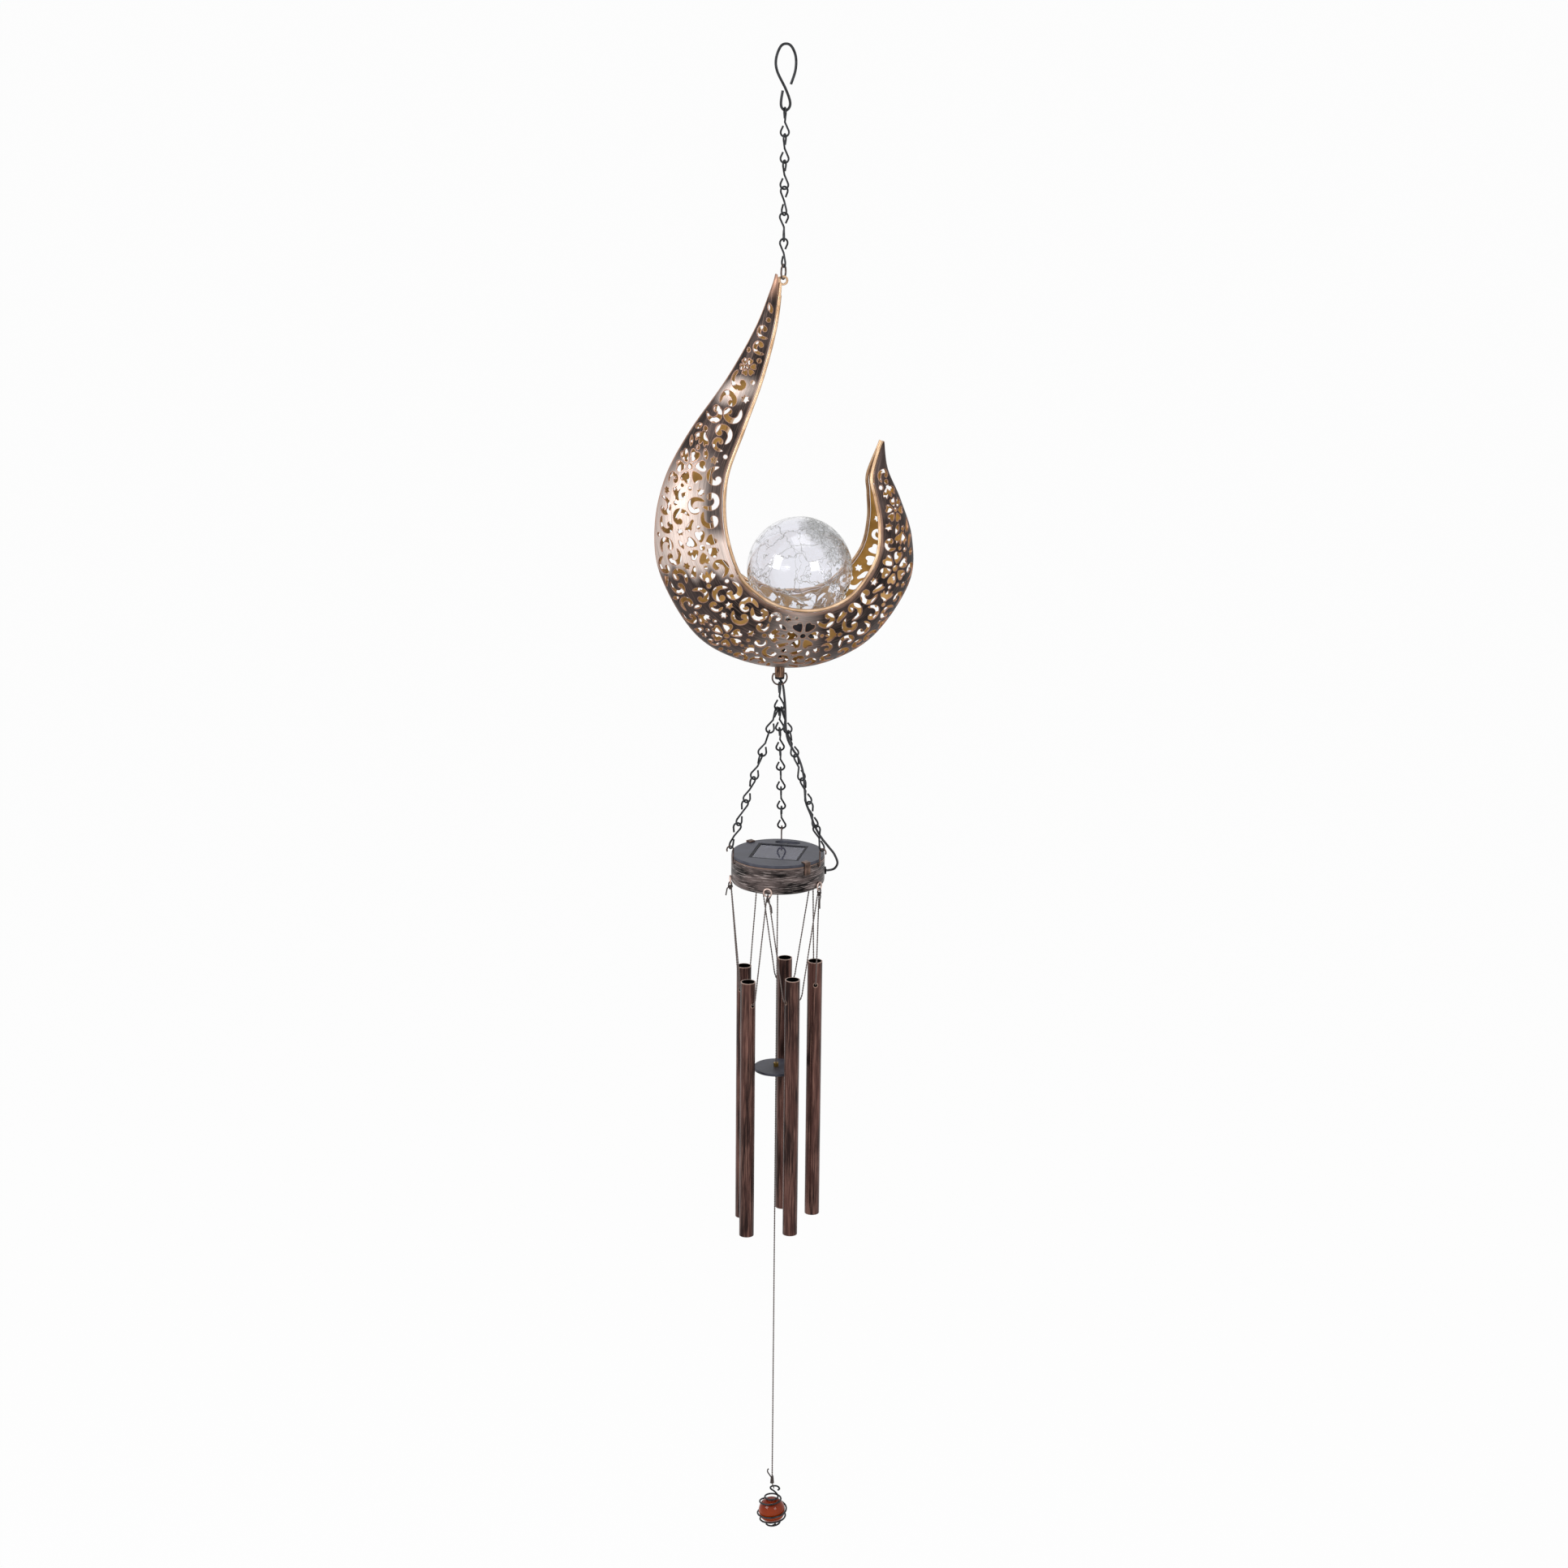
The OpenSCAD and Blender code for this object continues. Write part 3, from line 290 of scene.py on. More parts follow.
# Extruded vinyl is smooth with a soft sheen, greyed in places by dust
cable_black, tree, shader, place = new_material("soft vinyl cable")
dust = add(tree, "TexNoise", place, 1 / (4 * MM))
vinyl = add(tree, "Mix", dust, "#1b1b1e", "#34343a", data_type="RGBA")
feed(shader, Base_Color=vinyl, Roughness=0.42)

# %% [markdown]
# ## Cords
# Each tube hangs in a loop of twine that comes down from two eyes and passes through its two holes.
# The striker and the sail hang on single cords. A swept tube with a bump could stand for the twist,
# but its outline would stay straight, so each ply is a helix of its own round the cord's line.

# %% Twisted cord along a line
CORD_D, CORD_PITCH, STEPS_A_TURN = 0.9, 3.2, 9
PLY_D, PLY_OUT = 0.54 * CORD_D, 0.24 * CORD_D


def normals_along(line):
    """Two normals at each point of a line, turning as little as they can."""
    t = np.gradient(line, axis=0)
    t /= np.linalg.norm(t, axis=1)[:, None]
    n = np.cross(t[0], (0, 1, 0) if abs(t[0][1]) < 0.9 else (1, 0, 0))
    normals = []
    for step in t:
        n = n - n.dot(step) * step
        n /= np.linalg.norm(n)
        normals.append(n)
    return np.array(normals), np.cross(t, normals)


def run_of(points):
    """Length of a line up to each of its points."""
    steps = np.linalg.norm(np.diff(points, axis=0), axis=1)
    return np.concatenate([[0], np.cumsum(steps)])


def evenly(line, step):
    """The same line with points a step apart, and its length."""
    line = np.asarray(line, float)
    run = run_of(line)
    at = np.linspace(0, run[-1], max(2, int(run[-1] / step) + 1))
    return np.column_stack([np.interp(at, run, line[:, k]) for k in range(3)]), run[-1]


def hang_cord(name, points, body, node):
    """Twists two plies round the line of points and sets them on the body in place of the CAD cord.
    """
    line, length = evenly(points, CORD_PITCH / STEPS_A_TURN)
    n, b = normals_along(line)
    angle = np.linspace(0, 2 * pi * length / CORD_PITCH, len(line))[:, None]
    plies = [sweep(name + "_ply", line + PLY_OUT * (np.cos(angle + start) * n
                                                    + np.sin(angle + start) * b), PLY_D, 6)
             for start in (0, pi)]
    cord = settle(joined(name, plies), body, twisted_cord, "cord", node)
    print("cord length", round(length, 1), "mm")


# %% Tube, striker and sail cords
TUBES, TUBE_ANGLE, TUBE_RING_R, TUBE_D = 5, 210, 22.895, 8.9
TUBE_CORD_Z = [-555.398, -551.798, -547.998, -552.998, -554.598]
CORD_TOP, CORD_SPREAD = -485.998, 15.784
STRIKER_CORD_Z, SAIL_CORD_Z = (-487.198, -603.398), (-604.798, -881.298)
BESIDE_TUBE, ABOVE_HOLE = TUBE_D / 2 + 0.8, 7


def at_tube(k, points):
    """Points given out from, beside and at the height of tube k, in the chime's frame."""
    turn = radians(TUBE_ANGLE + 360 / TUBES * k)
    p = np.asarray(points, float)
    x, y = TUBE_RING_R + p[:, 0], p[:, 1]
    return np.column_stack([x * cos(turn) - y * sin(turn), x * sin(turn) + y * cos(turn), p[:, 2]])


for k, z in enumerate(TUBE_CORD_Z):
    # Straight from the eye to just above the tube's hole, then round the wall into the hole
    low = np.array((0, -BESIDE_TUBE - 1.6, z + ABOVE_HOLE))
    high = np.array((0, -CORD_SPREAD, CORD_TOP))
    half = [high + (low - high) * f for f in (0, 0.3, 0.6, 0.85, 0.95)] + [low]
    half += [(0, -BESIDE_TUBE + y, z + up) for y, up in ((-1.1, 3.6), (-0.4, 1.4), (0.9, 0))]
    whole = half + [(x, -y, h) for x, y, h in reversed(half)]
    hang_cord(f"tube_cord_twist_{k + 1}", smooth_line(at_tube(k, whole), 5), f"cord_{k + 1}",
              f"tube_cord_{k + 1}")
for cord, ends in (("striker", STRIKER_CORD_Z), ("sail", SAIL_CORD_Z)):
    hang_cord(cord + "_cord_twist", [(0, 0, z) for z in ends], cord, cord + "_cord")

# %% [markdown]
# ## Knots and tails
# Each eye of the pan holds the cords of two tubes in one knot with a short cut tail, and the sail's
# cord is wrapped and tied to the marble's wire. Plain beads would do from far away; a closed
# trefoil line, swept with the cord's thickness, has the crossings of a real knot.

# %% Knots and tails
EYES_AT, EYE_R, EYE_KNOT_Z = 174, 28.3, -486.6
KNOT_D, NOOSE_D, TAIL_D, SAIL_NOOSE_D = 0.85, 0.75, 0.8, 0.62
SAIL_KNOT_LOW, SAIL_KNOT_HIGH, SAIL_KNOT_TURNS = -881.2, 5.0, 6
LOOP = np.linspace(0, 2 * pi, 28, endpoint=False)


def knot_line(size):
    """Points of a small closed knot round the origin, standing on its edge."""
    a = np.linspace(0, 2 * pi, 40, endpoint=False)
    return size / 3 * np.column_stack([np.sin(a) + 2 * np.sin(2 * a), -1.1 * np.sin(3 * a),
                                       np.cos(a) - 2 * np.cos(2 * a)])


for k in range(TUBES):
    turn = radians(EYES_AT + 360 / TUBES * k)
    to_eye = np.array([(cos(turn), sin(turn), 0), (-sin(turn), cos(turn), 0), (0, 0, 1)])
    middle = np.array((EYE_R, 0, EYE_KNOT_Z))
    noose = np.column_stack([0.95 * np.sin(LOOP), 0.25 * np.cos(LOOP), 1.7 + 1.5 * np.cos(LOOP)])
    way = 1 if k % 2 else -1
    tail = smooth_line([(0.4, 0, 0), (1.6, way * 1.2, -1.2), (1.9, way * 2.6, -3.4),
                        (2.3, way * 3.2, -6.2 - k % 3)], 6)
    parts = [sweep("knot", (middle + knot_line(1.25)) @ to_eye, KNOT_D, 8, closed=True),
             sweep("noose", (middle + noose) @ to_eye, NOOSE_D, 8, closed=True),
             sweep("tail", (middle + tail) @ to_eye, TAIL_D, 8)]
    settle(joined(f"eye_knot_{k + 1}", parts), "sling", knot_cord, "cord")

tail = smooth_line([(0, 0, -486.2), (-1.2, -0.3, -487.4), (-3.2, -0.6, -490.6),
                    (-5.6, -0.8, -495.2)], 6)
settle(sweep("striker_knot_tail", tail, TAIL_D, 8), "striker_knot", knot_cord, "cord")

wind = np.linspace(0, 1, SAIL_KNOT_TURNS * 14)
radius, angle = 0.95 - 0.45 * wind, 2 * pi * SAIL_KNOT_TURNS * wind
wraps = np.column_stack([radius * np.cos(angle), radius * np.sin(angle),
                         SAIL_KNOT_LOW + SAIL_KNOT_HIGH * wind])
noose = np.column_stack([0.66 - 0.46 * np.cos(LOOP), 1.4 * np.sin(LOOP),
                         SAIL_CORD_Z[1] - 1.9 + 1.5 * np.cos(LOOP)])
tail = smooth_line([(-0.4, 0, -877.2), (-1.4, -0.2, -875.6), (-2.6, -0.3, -873.7),
                    (-3.1, -0.3, -872.3), (-2.8, -0.3, -871.2), (-2.3, -0.3, -870.8)], 6)
parts = [sweep("wraps", wraps, TAIL_D, 8), sweep("noose", noose, SAIL_NOOSE_D, 8, closed=True),
         sweep("tail", tail, TAIL_D, 8)]
settle(joined("sail_knot", parts), "sail", knot_cord, "cord")

# %% [markdown]
# ## Lamp cable
# The lead from the lamp comes out of the boss, hangs beside the right-hand chain and goes into the
# pan's side. It crosses two joints, so it is made in two pieces: a short stub from the boss to the
# ring, and the lead from the ring to the housing.

# %% Lamp cable
BOSS_BOTTOM, CABLE_D, CABLE_SIDES = -358.41, 1.4, 14
CABLE_STEPS, STUB_POINTS = 5, 3
CABLE_ROUTE = [
    (0, 0, 1.6), (0, 0, 0.2), (0, 0, -1.4), (0.9, 0.8, -2.8), (1.9, 1.6, -4.6), (2.7, 1.9, -7.6),
    (3.3, 1.8, -12.6), (3.8, 1.6, -18.6), (4, 1.2, -25.6), (4.2, 0.6, -32.6), (5.2, -1, -38.6),
    (8.2, -2.4, -44.6), (10.6, -3, -48.1), (12.6, -4.4, -53.6), (13.7, -6, -59.6), (14, -8, -67.6),
    (14.4, -9.8, -74.6), (17, -11, -81.6), (19.2, -11.5, -88.1), (23.2, -11, -95.6),
    (28.4, -9.5, -102.6), (32.2, -7.5, -107.6), (34.8, -5.5, -113.1), (34.9, -4.2, -116.2),
    (33.4, -2.7, -118.8), (30.4, -2.1, -119.6), (28.6, -2, -119.6), (26.9, -1.9, -119.6),
]


line = smooth_line(np.array(CABLE_ROUTE) + (0, 0, BOSS_BOTTOM), CABLE_STEPS)
stub, line = line[:STUB_POINTS * CABLE_STEPS + 1], line[STUB_POINTS * CABLE_STEPS:]
top = settle(sweep("lamp_cable_stub", stub, CABLE_D, CABLE_SIDES), None, cable_black,
             "black_rubber")
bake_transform(top)
cable = settle(sweep("lamp_cable_lead", line, CABLE_D, CABLE_SIDES), None, cable_black,
               "black_rubber", "lamp_cable")
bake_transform(cable)

# %% [markdown]
# ## Stage
# The chime hangs free in a white studio. Strong light could make the paper white, but would bleach
# the object too. So the floor and the world are white for the camera, in reflections and through
# glass, and dimmer as light. Two square softboxes stand where the highlights on the globe put them,
# far to the left and to the right front, and a weak one hangs above.

# %% White studio
FLOOR_Z, FLOOR_HALF = -1.3, 70
AIM = Vector((0, 0, -0.4))
WORLD_LIGHT, PAPER_GLOW = 0.45, 0.96
# Name, degrees round from the front, degrees up, distance and side in metres, brightness
SOFTBOXES = (("softbox_left", -71, 24, 1.6, 0.75, 8.0), ("softbox_right", 23, 20, 1.7, 0.6, 6.0),
             ("softbox_top", 0, 78, 1.5, 0.8, 2.0))

world = bpy.data.worlds.new("white_studio")
world.use_nodes = True
scene.world = world


def seen_directly(tree):
    """1 for rays that show the background itself: to the camera, in reflections, through glass."""
    path = add(tree, "LightPath").outputs
    either = add(tree, "Math", path["Is Camera Ray"], path["Is Glossy Ray"], operation="MAXIMUM")
    return add(tree, "Math", either, path["Is Transmission Ray"], operation="MAXIMUM")


tree = world.node_tree
level = add(tree, "MapRange", seen_directly(tree), 0, 1, WORLD_LIGHT, 1)
feed(tree.nodes["Background"], Color="#ffffff", Strength=level)

# Matt paper scatters all light evenly; its grain is hardly seen
paper, tree, shader, place = new_material("white paper sweep")
grain = add(tree, "TexNoise", place, 1 / (2.5 * MM))
white = add(tree, "Mix", grain, "#f2f2f2", "#fafafa", data_type="RGBA")
feed(shader, Base_Color=white, Roughness=0.9)
glow = add(tree, "Emission", "#ffffff", 1)
share = add(tree, "Math", seen_directly(tree), PAPER_GLOW, operation="MULTIPLY")
feed(tree.nodes["Material Output"], Surface=add(tree, "MixShader", share, shader, glow))
bm = bmesh.new()
bmesh.ops.create_grid(bm, x_segments=1, y_segments=1, size=FLOOR_HALF,
                      matrix=Matrix.Translation((0, 0, FLOOR_Z)))
studio_floor = bpy.data.objects.new("studio_floor", to_mesh(bm, "studio_floor"))
studio_floor.data.materials.append(paper)
scene.collection.objects.link(studio_floor)
studio_floor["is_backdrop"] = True

for name, azimuth, elevation, distance, size, radiance in SOFTBOXES:
    lamp = bpy.data.lights.new(name, "AREA")
    lamp.shape, lamp.size = "SQUARE", size
    lamp.energy = radiance * pi * size**2
    box = bpy.data.objects.new(name, lamp)
    a, e = radians(azimuth), radians(elevation)
    out = Vector((sin(a) * cos(e), -cos(a) * cos(e), sin(e)))
    box.matrix_world = Matrix.Translation(AIM + out * distance) @ looking(-out)
    scene.collection.objects.link(box)
print("floor at", FLOOR_Z, "m,", len(SOFTBOXES), "softboxes")

# %% [markdown]
# ## Metal finishes
# The sheets, the pan and the tubes carry the same antique bronze: a dark lacquer rubbed back with a
# stiff brush, so that copper strokes show through it. A wave texture would repeat itself; noise
# stretched along the brush's way doesn't, and a second, larger noise leaves some places darker.
# The brush's bristles leave marks of a tenth of a millimetre, drawn four to eight times wider here
# so that they show. Wire, trim and mouldings have only a soft uneven tone.

# %% Two kinds of finish
def brushed(name, source, stroke_mm, tones, patch_mm, slant=0.0, level=(0.5, 0.74),
            rough=(0.34, 0.52), strength=0.8):
    """Antique finish: strokes and patches in mm, in tones from dark to rubbed bright."""
    material, tree, shader, place = new_material(name, source)
    unit = MM if source == "Object" else 1
    space, wide = (add(tree, "Mapping", place, Rotation=(0, slant, 0),
                       Scale=[1 / (s * unit) for s in size]) for size in (stroke_mm, patch_mm))
    stroke = add(tree, "TexNoise", space, 1, 6, 0.62)
    patchy = add(tree, "MapRange", add(tree, "TexNoise", wide, 1, 3), 0.4, 0.62)
    base = add(tree, "Mix", patchy, tones[0], tones[1], data_type="RGBA")
    rubbed = add(tree, "MapRange", stroke, *level, 0, strength)
    skin = add(tree, "Mix", rubbed, base, tones[2], data_type="RGBA")
    gloss = add(tree, "MapRange", stroke, 0.3, 0.7, rough[1], rough[0])
    lines = add(tree, "Bump", Strength=0.35, Distance=0.06 * MM, Height=stroke)
    feed(shader, Base_Color=skin, Metallic=0.85, Roughness=gloss, Normal=lines)
    return material, tree, shader, skin, stroke


def mottled(name, dark, light, size_mm, metallic, roughness, specular=0.5):
    """Plain metal, rubber or plastic with soft uneven tone of the given size in mm."""
    material, tree, shader, place = new_material(name)
    cloud = add(tree, "TexNoise", place, 1 / (size_mm * MM), 4)
    spread = add(tree, "MapRange", cloud, 0.35, 0.65)
    tone = add(tree, "Mix", spread, dark, light, data_type="RGBA")
    gloss = add(tree, "MapRange", cloud, 0, 1, roughness - 0.08, roughness + 0.08)
    skin = add(tree, "Bump", Strength=0.4, Distance=0.02 * MM, Height=cloud)
    feed(shader, Base_Color=tone, Metallic=metallic, Roughness=gloss, Specular_IOR_Level=specular,
         Normal=skin)
    return material


# %% Wire, trim and mouldings
# Steel wire blackened in oil: near black, half metal, half coating
black_wire = mottled("blackened steel wire", "#17181a", "#303236", 3, 0.55, 0.42)
# Thin copper wire, pale where the lacquer is worn off
copper_wire = mottled("antique copper wire", "#a58a80", "#e2cbc1", 4, 0.8, 0.4)
# The rings and hooks are browned by heat, with a duller gleam than copper
brown_wire = mottled("browned steel wire", "#3f3532", "#75625b", 2.5, 0.8, 0.4)
# The rolled rims are rubbed bright by hands, in long soft patches
copper_trim = mottled("copper trim", "#a48364", "#d8b999", 12, 0.9, 0.4)
# Cut edges and solder show bare copper, redder and a little duller
edge_copper = mottled("rubbed copper edge", "#936f5c", "#c9a28c", 9, 0.9, 0.42)
# The inside of the sheets is sprayed with golden lacquer, which hides the metal
ochre_inside = mottled("ochre lacquer", "#a37a34", "#cd9f52", 9, 0.15, 0.45)
# Moulded parts have a fine eroded skin: dark and half dull
black_plastic = mottled("black moulded plastic", "#191a21", "#292b36", 6, 0.0, 0.5)
# The lid and the striker are greyed by light and handling
grey_plastic = mottled("dark grey moulded plastic", "#383943", "#494a55", 6, 0.0, 0.45, 0.3)
# Rubber takes up light and hardly shines
black_rubber = mottled("black rubber", "#141418", "#26262c", 3, 0.0, 0.6, 0.2)
# The tabs are strips of the pan's sheet, rubbed where they were folded
tab_bronze = mottled("bronze strip", "#3d302a", "#8b7063", 5, 0.8, 0.42)

# %% Brushed pan, tubes and boss
PAN_TOP, TUBE_HOLE_DOWN = -467.598, 14.0
# The brush went round the pan at a small slant; a paler band along the top edge is a painted
# highlight
pan_bronze, tree, shader, skin, _ = brushed(
    "brushed antique bronze pan", "Object", (9, 9, 0.45), ("#110d0d", "#655957", "#d3c4c0"),
    (15, 15, 4.5), slant=radians(9), level=(0.53, 0.7), rough=(0.36, 0.55))
up = add(tree, "SeparateXYZ", add(tree, "TexCoord").outputs["Object"]).outputs["Z"]
lip_highlight = add(tree, "MapRange", up, (PAN_TOP - 0.7) * MM, (PAN_TOP - 0.3) * MM)
feed(shader, Base_Color=add(tree, "Mix", lip_highlight, skin, "#8f776b", data_type="RGBA"))

# Tubes are brushed along their length. Their ends and cord holes are rubbed to bare copper and
# lightened further as a painted highlight, and the bore is painted dark as shade: the mesh notes
# each point's place out from the axis, beside it and down the tube
tube_bronze, tree, shader, skin, _ = brushed(
    "brushed antique bronze tube", "Object", (0.8, 0.8, 22), ("#2b1c1a", "#5b3d37", "#a1786b"),
    (7, 7, 40), level=(0.48, 0.7), rough=(0.24, 0.38), strength=0.6)
at = add(tree, "Attribute", attribute_name="tube_at").outputs["Vector"]
spot = add(tree, "SeparateXYZ", at).outputs
down = add(tree, "Math", spot["Z"], TUBE_HOLE_DOWN, operation="SUBTRACT")
from_hole, from_axis = (
    add(tree, "VectorMath", add(tree, "CombineXYZ", spot["X"], other), operation="LENGTH")
    for other in (down, spot["Y"]))
# Worn copper round each cord hole and at the top mouth, lightened further as a painted highlight
hole = add(tree, "MapRange", from_hole, 1.3, 1.8, 0.8, 0)
mouth = add(tree, "MapRange", spot["Z"], 0.1, 0.5, 0.75, 0)
# Painted shade: the inside of the bore is near black
painted_bore_shade = add(tree, "MapRange", from_axis, 3.85, 4.1, 1, 0)
bare_and_highlight = add(tree, "Math", hole, mouth, operation="MAXIMUM")
ends = add(tree, "Mix", bare_and_highlight, skin, "#b8998a", data_type="RGBA")
feed(shader, Base_Color=add(tree, "Mix", painted_bore_shade, ends, "#15100e", data_type="RGBA"))
# The boss is a short copper tube, brighter than the bronze
boss_copper = brushed("brushed antique copper", "Object", (0.6, 0.6, 8),
                      ("#33271f", "#6b4c3b", "#d0a284"), (4, 4, 4), level=(0.48, 0.66),
                      rough=(0.26, 0.4))[0]

# %% [markdown]
# ## The crescent's sheets
# Two sheets are cut flat, pierced with a traditional filigree of flowers, palmettes and scrolls,
# dished in a press and joined along the outer seam. Holes could be cut from the finished bowl, but
# they would come out skewed. The lesson works as the maker does: it draws the holes on the flat
# blank, fills the blank with triangles round them, and then bends it to the dished shape.

# %% Shape of the sheet
# The crescent is 151 by 228 mm; the stations were drawn 0.2 mm larger
TO_SIZE = (151 / 151.2, 228 / 228.2) * 2
# One row for each station along the limb: x and z of the seam, then x and z of the rim
STATIONS = TO_SIZE * np.array([
    (-4.4, 3.6, -2.4, 3.6), (-6.9, -4.5, -2.2, -4.5), (-16, -27, -5.6, -26.5),
    (-32.2, -55, -14, -54), (-53.8, -85, -25.8, -81.5), (-67.7, -111, -35.9, -108.5),
    (-73.6, -139.5, -37, -136), (-69.9, -168, -29.9, -161.5), (-50.2, -202, -17.7, -175),
    (-23.7, -218.5, -3.7, -182.5), (7.8, -224.6, 12.3, -185.2), (34.8, -219.5, 27.3, -183),
    (57.8, -205, 40.3, -175), (76.6, -176, 52.1, -158.5), (77.6, -150, 55, -140),
    (70.3, -127, 53.3, -124), (62.4, -109, 52, -112), (60, -93, 58.4, -92.5),
])
END_U, LUG_Z = len(STATIONS) - 1, -129.0
SEAM_HALF, TIP_HALF, HORN_HALF, TIP_WIDTH = 0.48, 1.9, 1.15, 3.0
MOUTH_W, BOWL_U, RIM_WIRE = 51.2, 9.93, 2.0
RIM_INSET, SEAM_INSET = RIM_WIRE / 2 + 0.3, 0.2


def stations(u):
    """Seam and rim of the flat outline at u along the limb, from the eye, in mm."""
    line = spline_at(STATIONS, u)
    return line[..., :2], line[..., 2:]


def mouth_half(u, width):
    """Half the channel's opening at u, where the outline is that wide."""
    closed, bowl_closed = (TIP_HALF + (HORN_HALF - TIP_HALF) * at / END_U for at in (u, BOWL_U))
    bowl = np.linalg.norm(np.subtract(*stations(np.array([BOWL_U]))))
    swell = np.maximum(0, width - TIP_WIDTH) / (bowl - TIP_WIDTH)
    return closed + (MOUTH_W / 2 - bowl_closed) * swell**1.2


def dished(u, v):
    """Middle of the front sheet at u along the limb and v across, from the rim 0 to the seam 1."""
    seam, rim = stations(u)
    width = np.linalg.norm(seam - rim, axis=-1)
    part = np.interp(v, ACROSS, PARTS)
    first, last = RIM_INSET / width, 1 - SEAM_INSET / width
    flat = rim + (first + (last - first) * part)[..., None] * (seam - rim)
    bulge = np.maximum(0, 1 - part**2) ** 0.75
    half = SEAM_HALF + (mouth_half(u, width) - SEAM_HALF) * bulge
    return np.stack([flat[..., 0], -half, LUG_Z + flat[..., 1]], -1)


# Equal steps of v are equal lengths along the bowl's curve, so no hole is drawn out at the seam
PARTS_COUNT = 200
PARTS = np.sin(np.linspace(0, pi / 2, PARTS_COUNT))
ACROSS = np.linspace(0, 1, PARTS_COUNT)
ACROSS = run_of(dished(np.full(PARTS_COUNT, BOWL_U), ACROSS))
ACROSS /= ACROSS[-1]

# The flat blank: the same limb with its curves across unrolled
BLANK_U = np.linspace(0, END_U, 1500)
blank_seam, blank_rim = stations(BLANK_U)
BLANK_DIR = (blank_seam - blank_rim) / np.linalg.norm(blank_seam - blank_rim, axis=1)[:, None]
grid_u, grid_v = np.meshgrid(BLANK_U, np.linspace(0, 1, 40), indexing="ij")
BLANK_L = np.linalg.norm(np.diff(dished(grid_u, grid_v), axis=1), axis=2).sum(1)
BLANK_RIM = blank_rim + RIM_INSET * BLANK_DIR
ALONG = run_of(BLANK_RIM + BLANK_DIR * BLANK_L[:, None] / 2)
print("limb", round(ALONG[-1]), "mm long, widest blank", round(BLANK_L.max(), 1), "mm")

# %% From the blank and back
REACH_SLACK, NO_STEP = 0.5, 1e-9


def on_blank(u, v):
    """Point of the flat blank at u and v."""
    rim, out = (np.stack([np.interp(u, BLANK_U, way[:, k]) for k in (0, 1)], -1)
                for way in (BLANK_RIM, BLANK_DIR))
    return rim + out * (np.interp(u, BLANK_U, BLANK_L) * v)[..., None]


def from_blank(points):
    """u, distance from the rim and width of the blank at flat points; u is -1 off the blank."""
    away = points[:, None, :] - BLANK_RIM[None]
    side = away[..., 0] * BLANK_DIR[None, :, 1] - away[..., 1] * BLANK_DIR[None, :, 0]
    reach = (away * BLANK_DIR[None]).sum(2)
    crossing = ((side[:, :-1] * side[:, 1:] <= 0) & (reach[:, :-1] > -REACH_SLACK)
                & (reach[:, :-1] < BLANK_L[None, :-1] + REACH_SLACK))
    found = crossing.argmax(1)
    row = np.arange(len(points))
    a, b = side[row, found], side[row, found + 1]
    apart = np.abs(a - b) > NO_STEP
    f = np.where(apart, a / np.where(apart, a - b, 1), 0)
    u = BLANK_U[found] + f * (BLANK_U[1] - BLANK_U[0])
    t = reach[row, found] * (1 - f) + reach[row, found + 1] * f
    return np.where(crossing.any(1), u, -1), t, np.interp(u, BLANK_U, BLANK_L)


there = from_blank(on_blank(np.array([BOWL_U]), np.array([0.5])))[0]
print("station", BOWL_U, "comes back from the blank as", there.round(2))

# %% [markdown]
# ## The filigree
# The motifs are the old stock of pierced work: a flower of six petals, fans of three leaves, pairs
# of scrolls, stars and dots. Each is a closed outline in millimetres. A fixed list of places would
# be long and would fit one outline only, so flowers are set along the limb, the rest stand round
# them where there is room, and small stars and dots fill what is left.

# %% Motifs
def rounded(points, steps=2):
    """Closed smooth outline through the points."""
    p = np.array(points, float)
    return spline_at(np.concatenate([p[-1:], p, p[:2]]),
                     np.linspace(1, 1 + len(p), len(p) * steps, endpoint=False))


def dot(radius, count=10):
    """Round hole."""
    a = np.linspace(0, 2 * pi, count, endpoint=False)
    return radius * np.column_stack([np.cos(a), np.sin(a)])


def turned(outline, angle, x=0.0, y=0.0):
    """Outline turned by an angle in degrees and then moved."""
    c, s = cos(radians(angle)), sin(radians(angle))
    return outline @ np.array([[c, s], [-s, c]]) + (x, y)


PETAL = rounded([(2.9, 0), (4.3, 1.5), (6.3, 2.6), (8.4, 2.9), (9.5, 1.7), (8.7, 0), (9.5, -1.7),
                 (8.4, -2.9), (6.3, -2.6), (4.3, -1.5)])
LEAF = rounded([(0, 0.6), (2.4, 1.3), (5.2, 1.9), (7.2, 1.2), (6.6, 0), (7.6, -1.2), (5, -1.4),
                (2.4, -1.0), (0, -0.6)])
LENS = rounded([(-2.9, 0), (-1.4, 0.95), (0, 1.2), (1.4, 0.95), (2.9, 0), (1.4, -0.95), (0, -1.2),
                (-1.4, -0.95)])
SCROLL = rounded([(-4.6, -3.2), (-2.6, -4.6), (0.2, -4.9), (3.0, -3.9), (4.7, -1.4), (4.8, 1.4),
                  (3.4, 3.9), (0.9, 4.9), (-1.4, 4.2), (-2.2, 2.2), (-1.1, 0.9), (0.5, 1.2),
                  (0.9, 2.3), (1.8, 1.4), (2.1, -0.2), (1.2, -2.0), (-0.6, -2.9), (-2.6, -2.9)])
STAR = dot(2.3, 12) * np.where(np.arange(12) % 2, 0.62, 1)[:, None]
FAN = [turned(LEAF, 132, 0.9, 0), turned(LEAF * (1, -1), 48, -0.9, 0), turned(LENS, 90, 0, 3.9),
       dot(1.35) - (0, 2.3)]
PAIR = [SCROLL * (-1, 1) + (6.0, 0), SCROLL - (6.0, 0)]
FLOWER = [dot(1.7, 14)] + [turned(PETAL, 60 * k + 90) for k in range(6)]
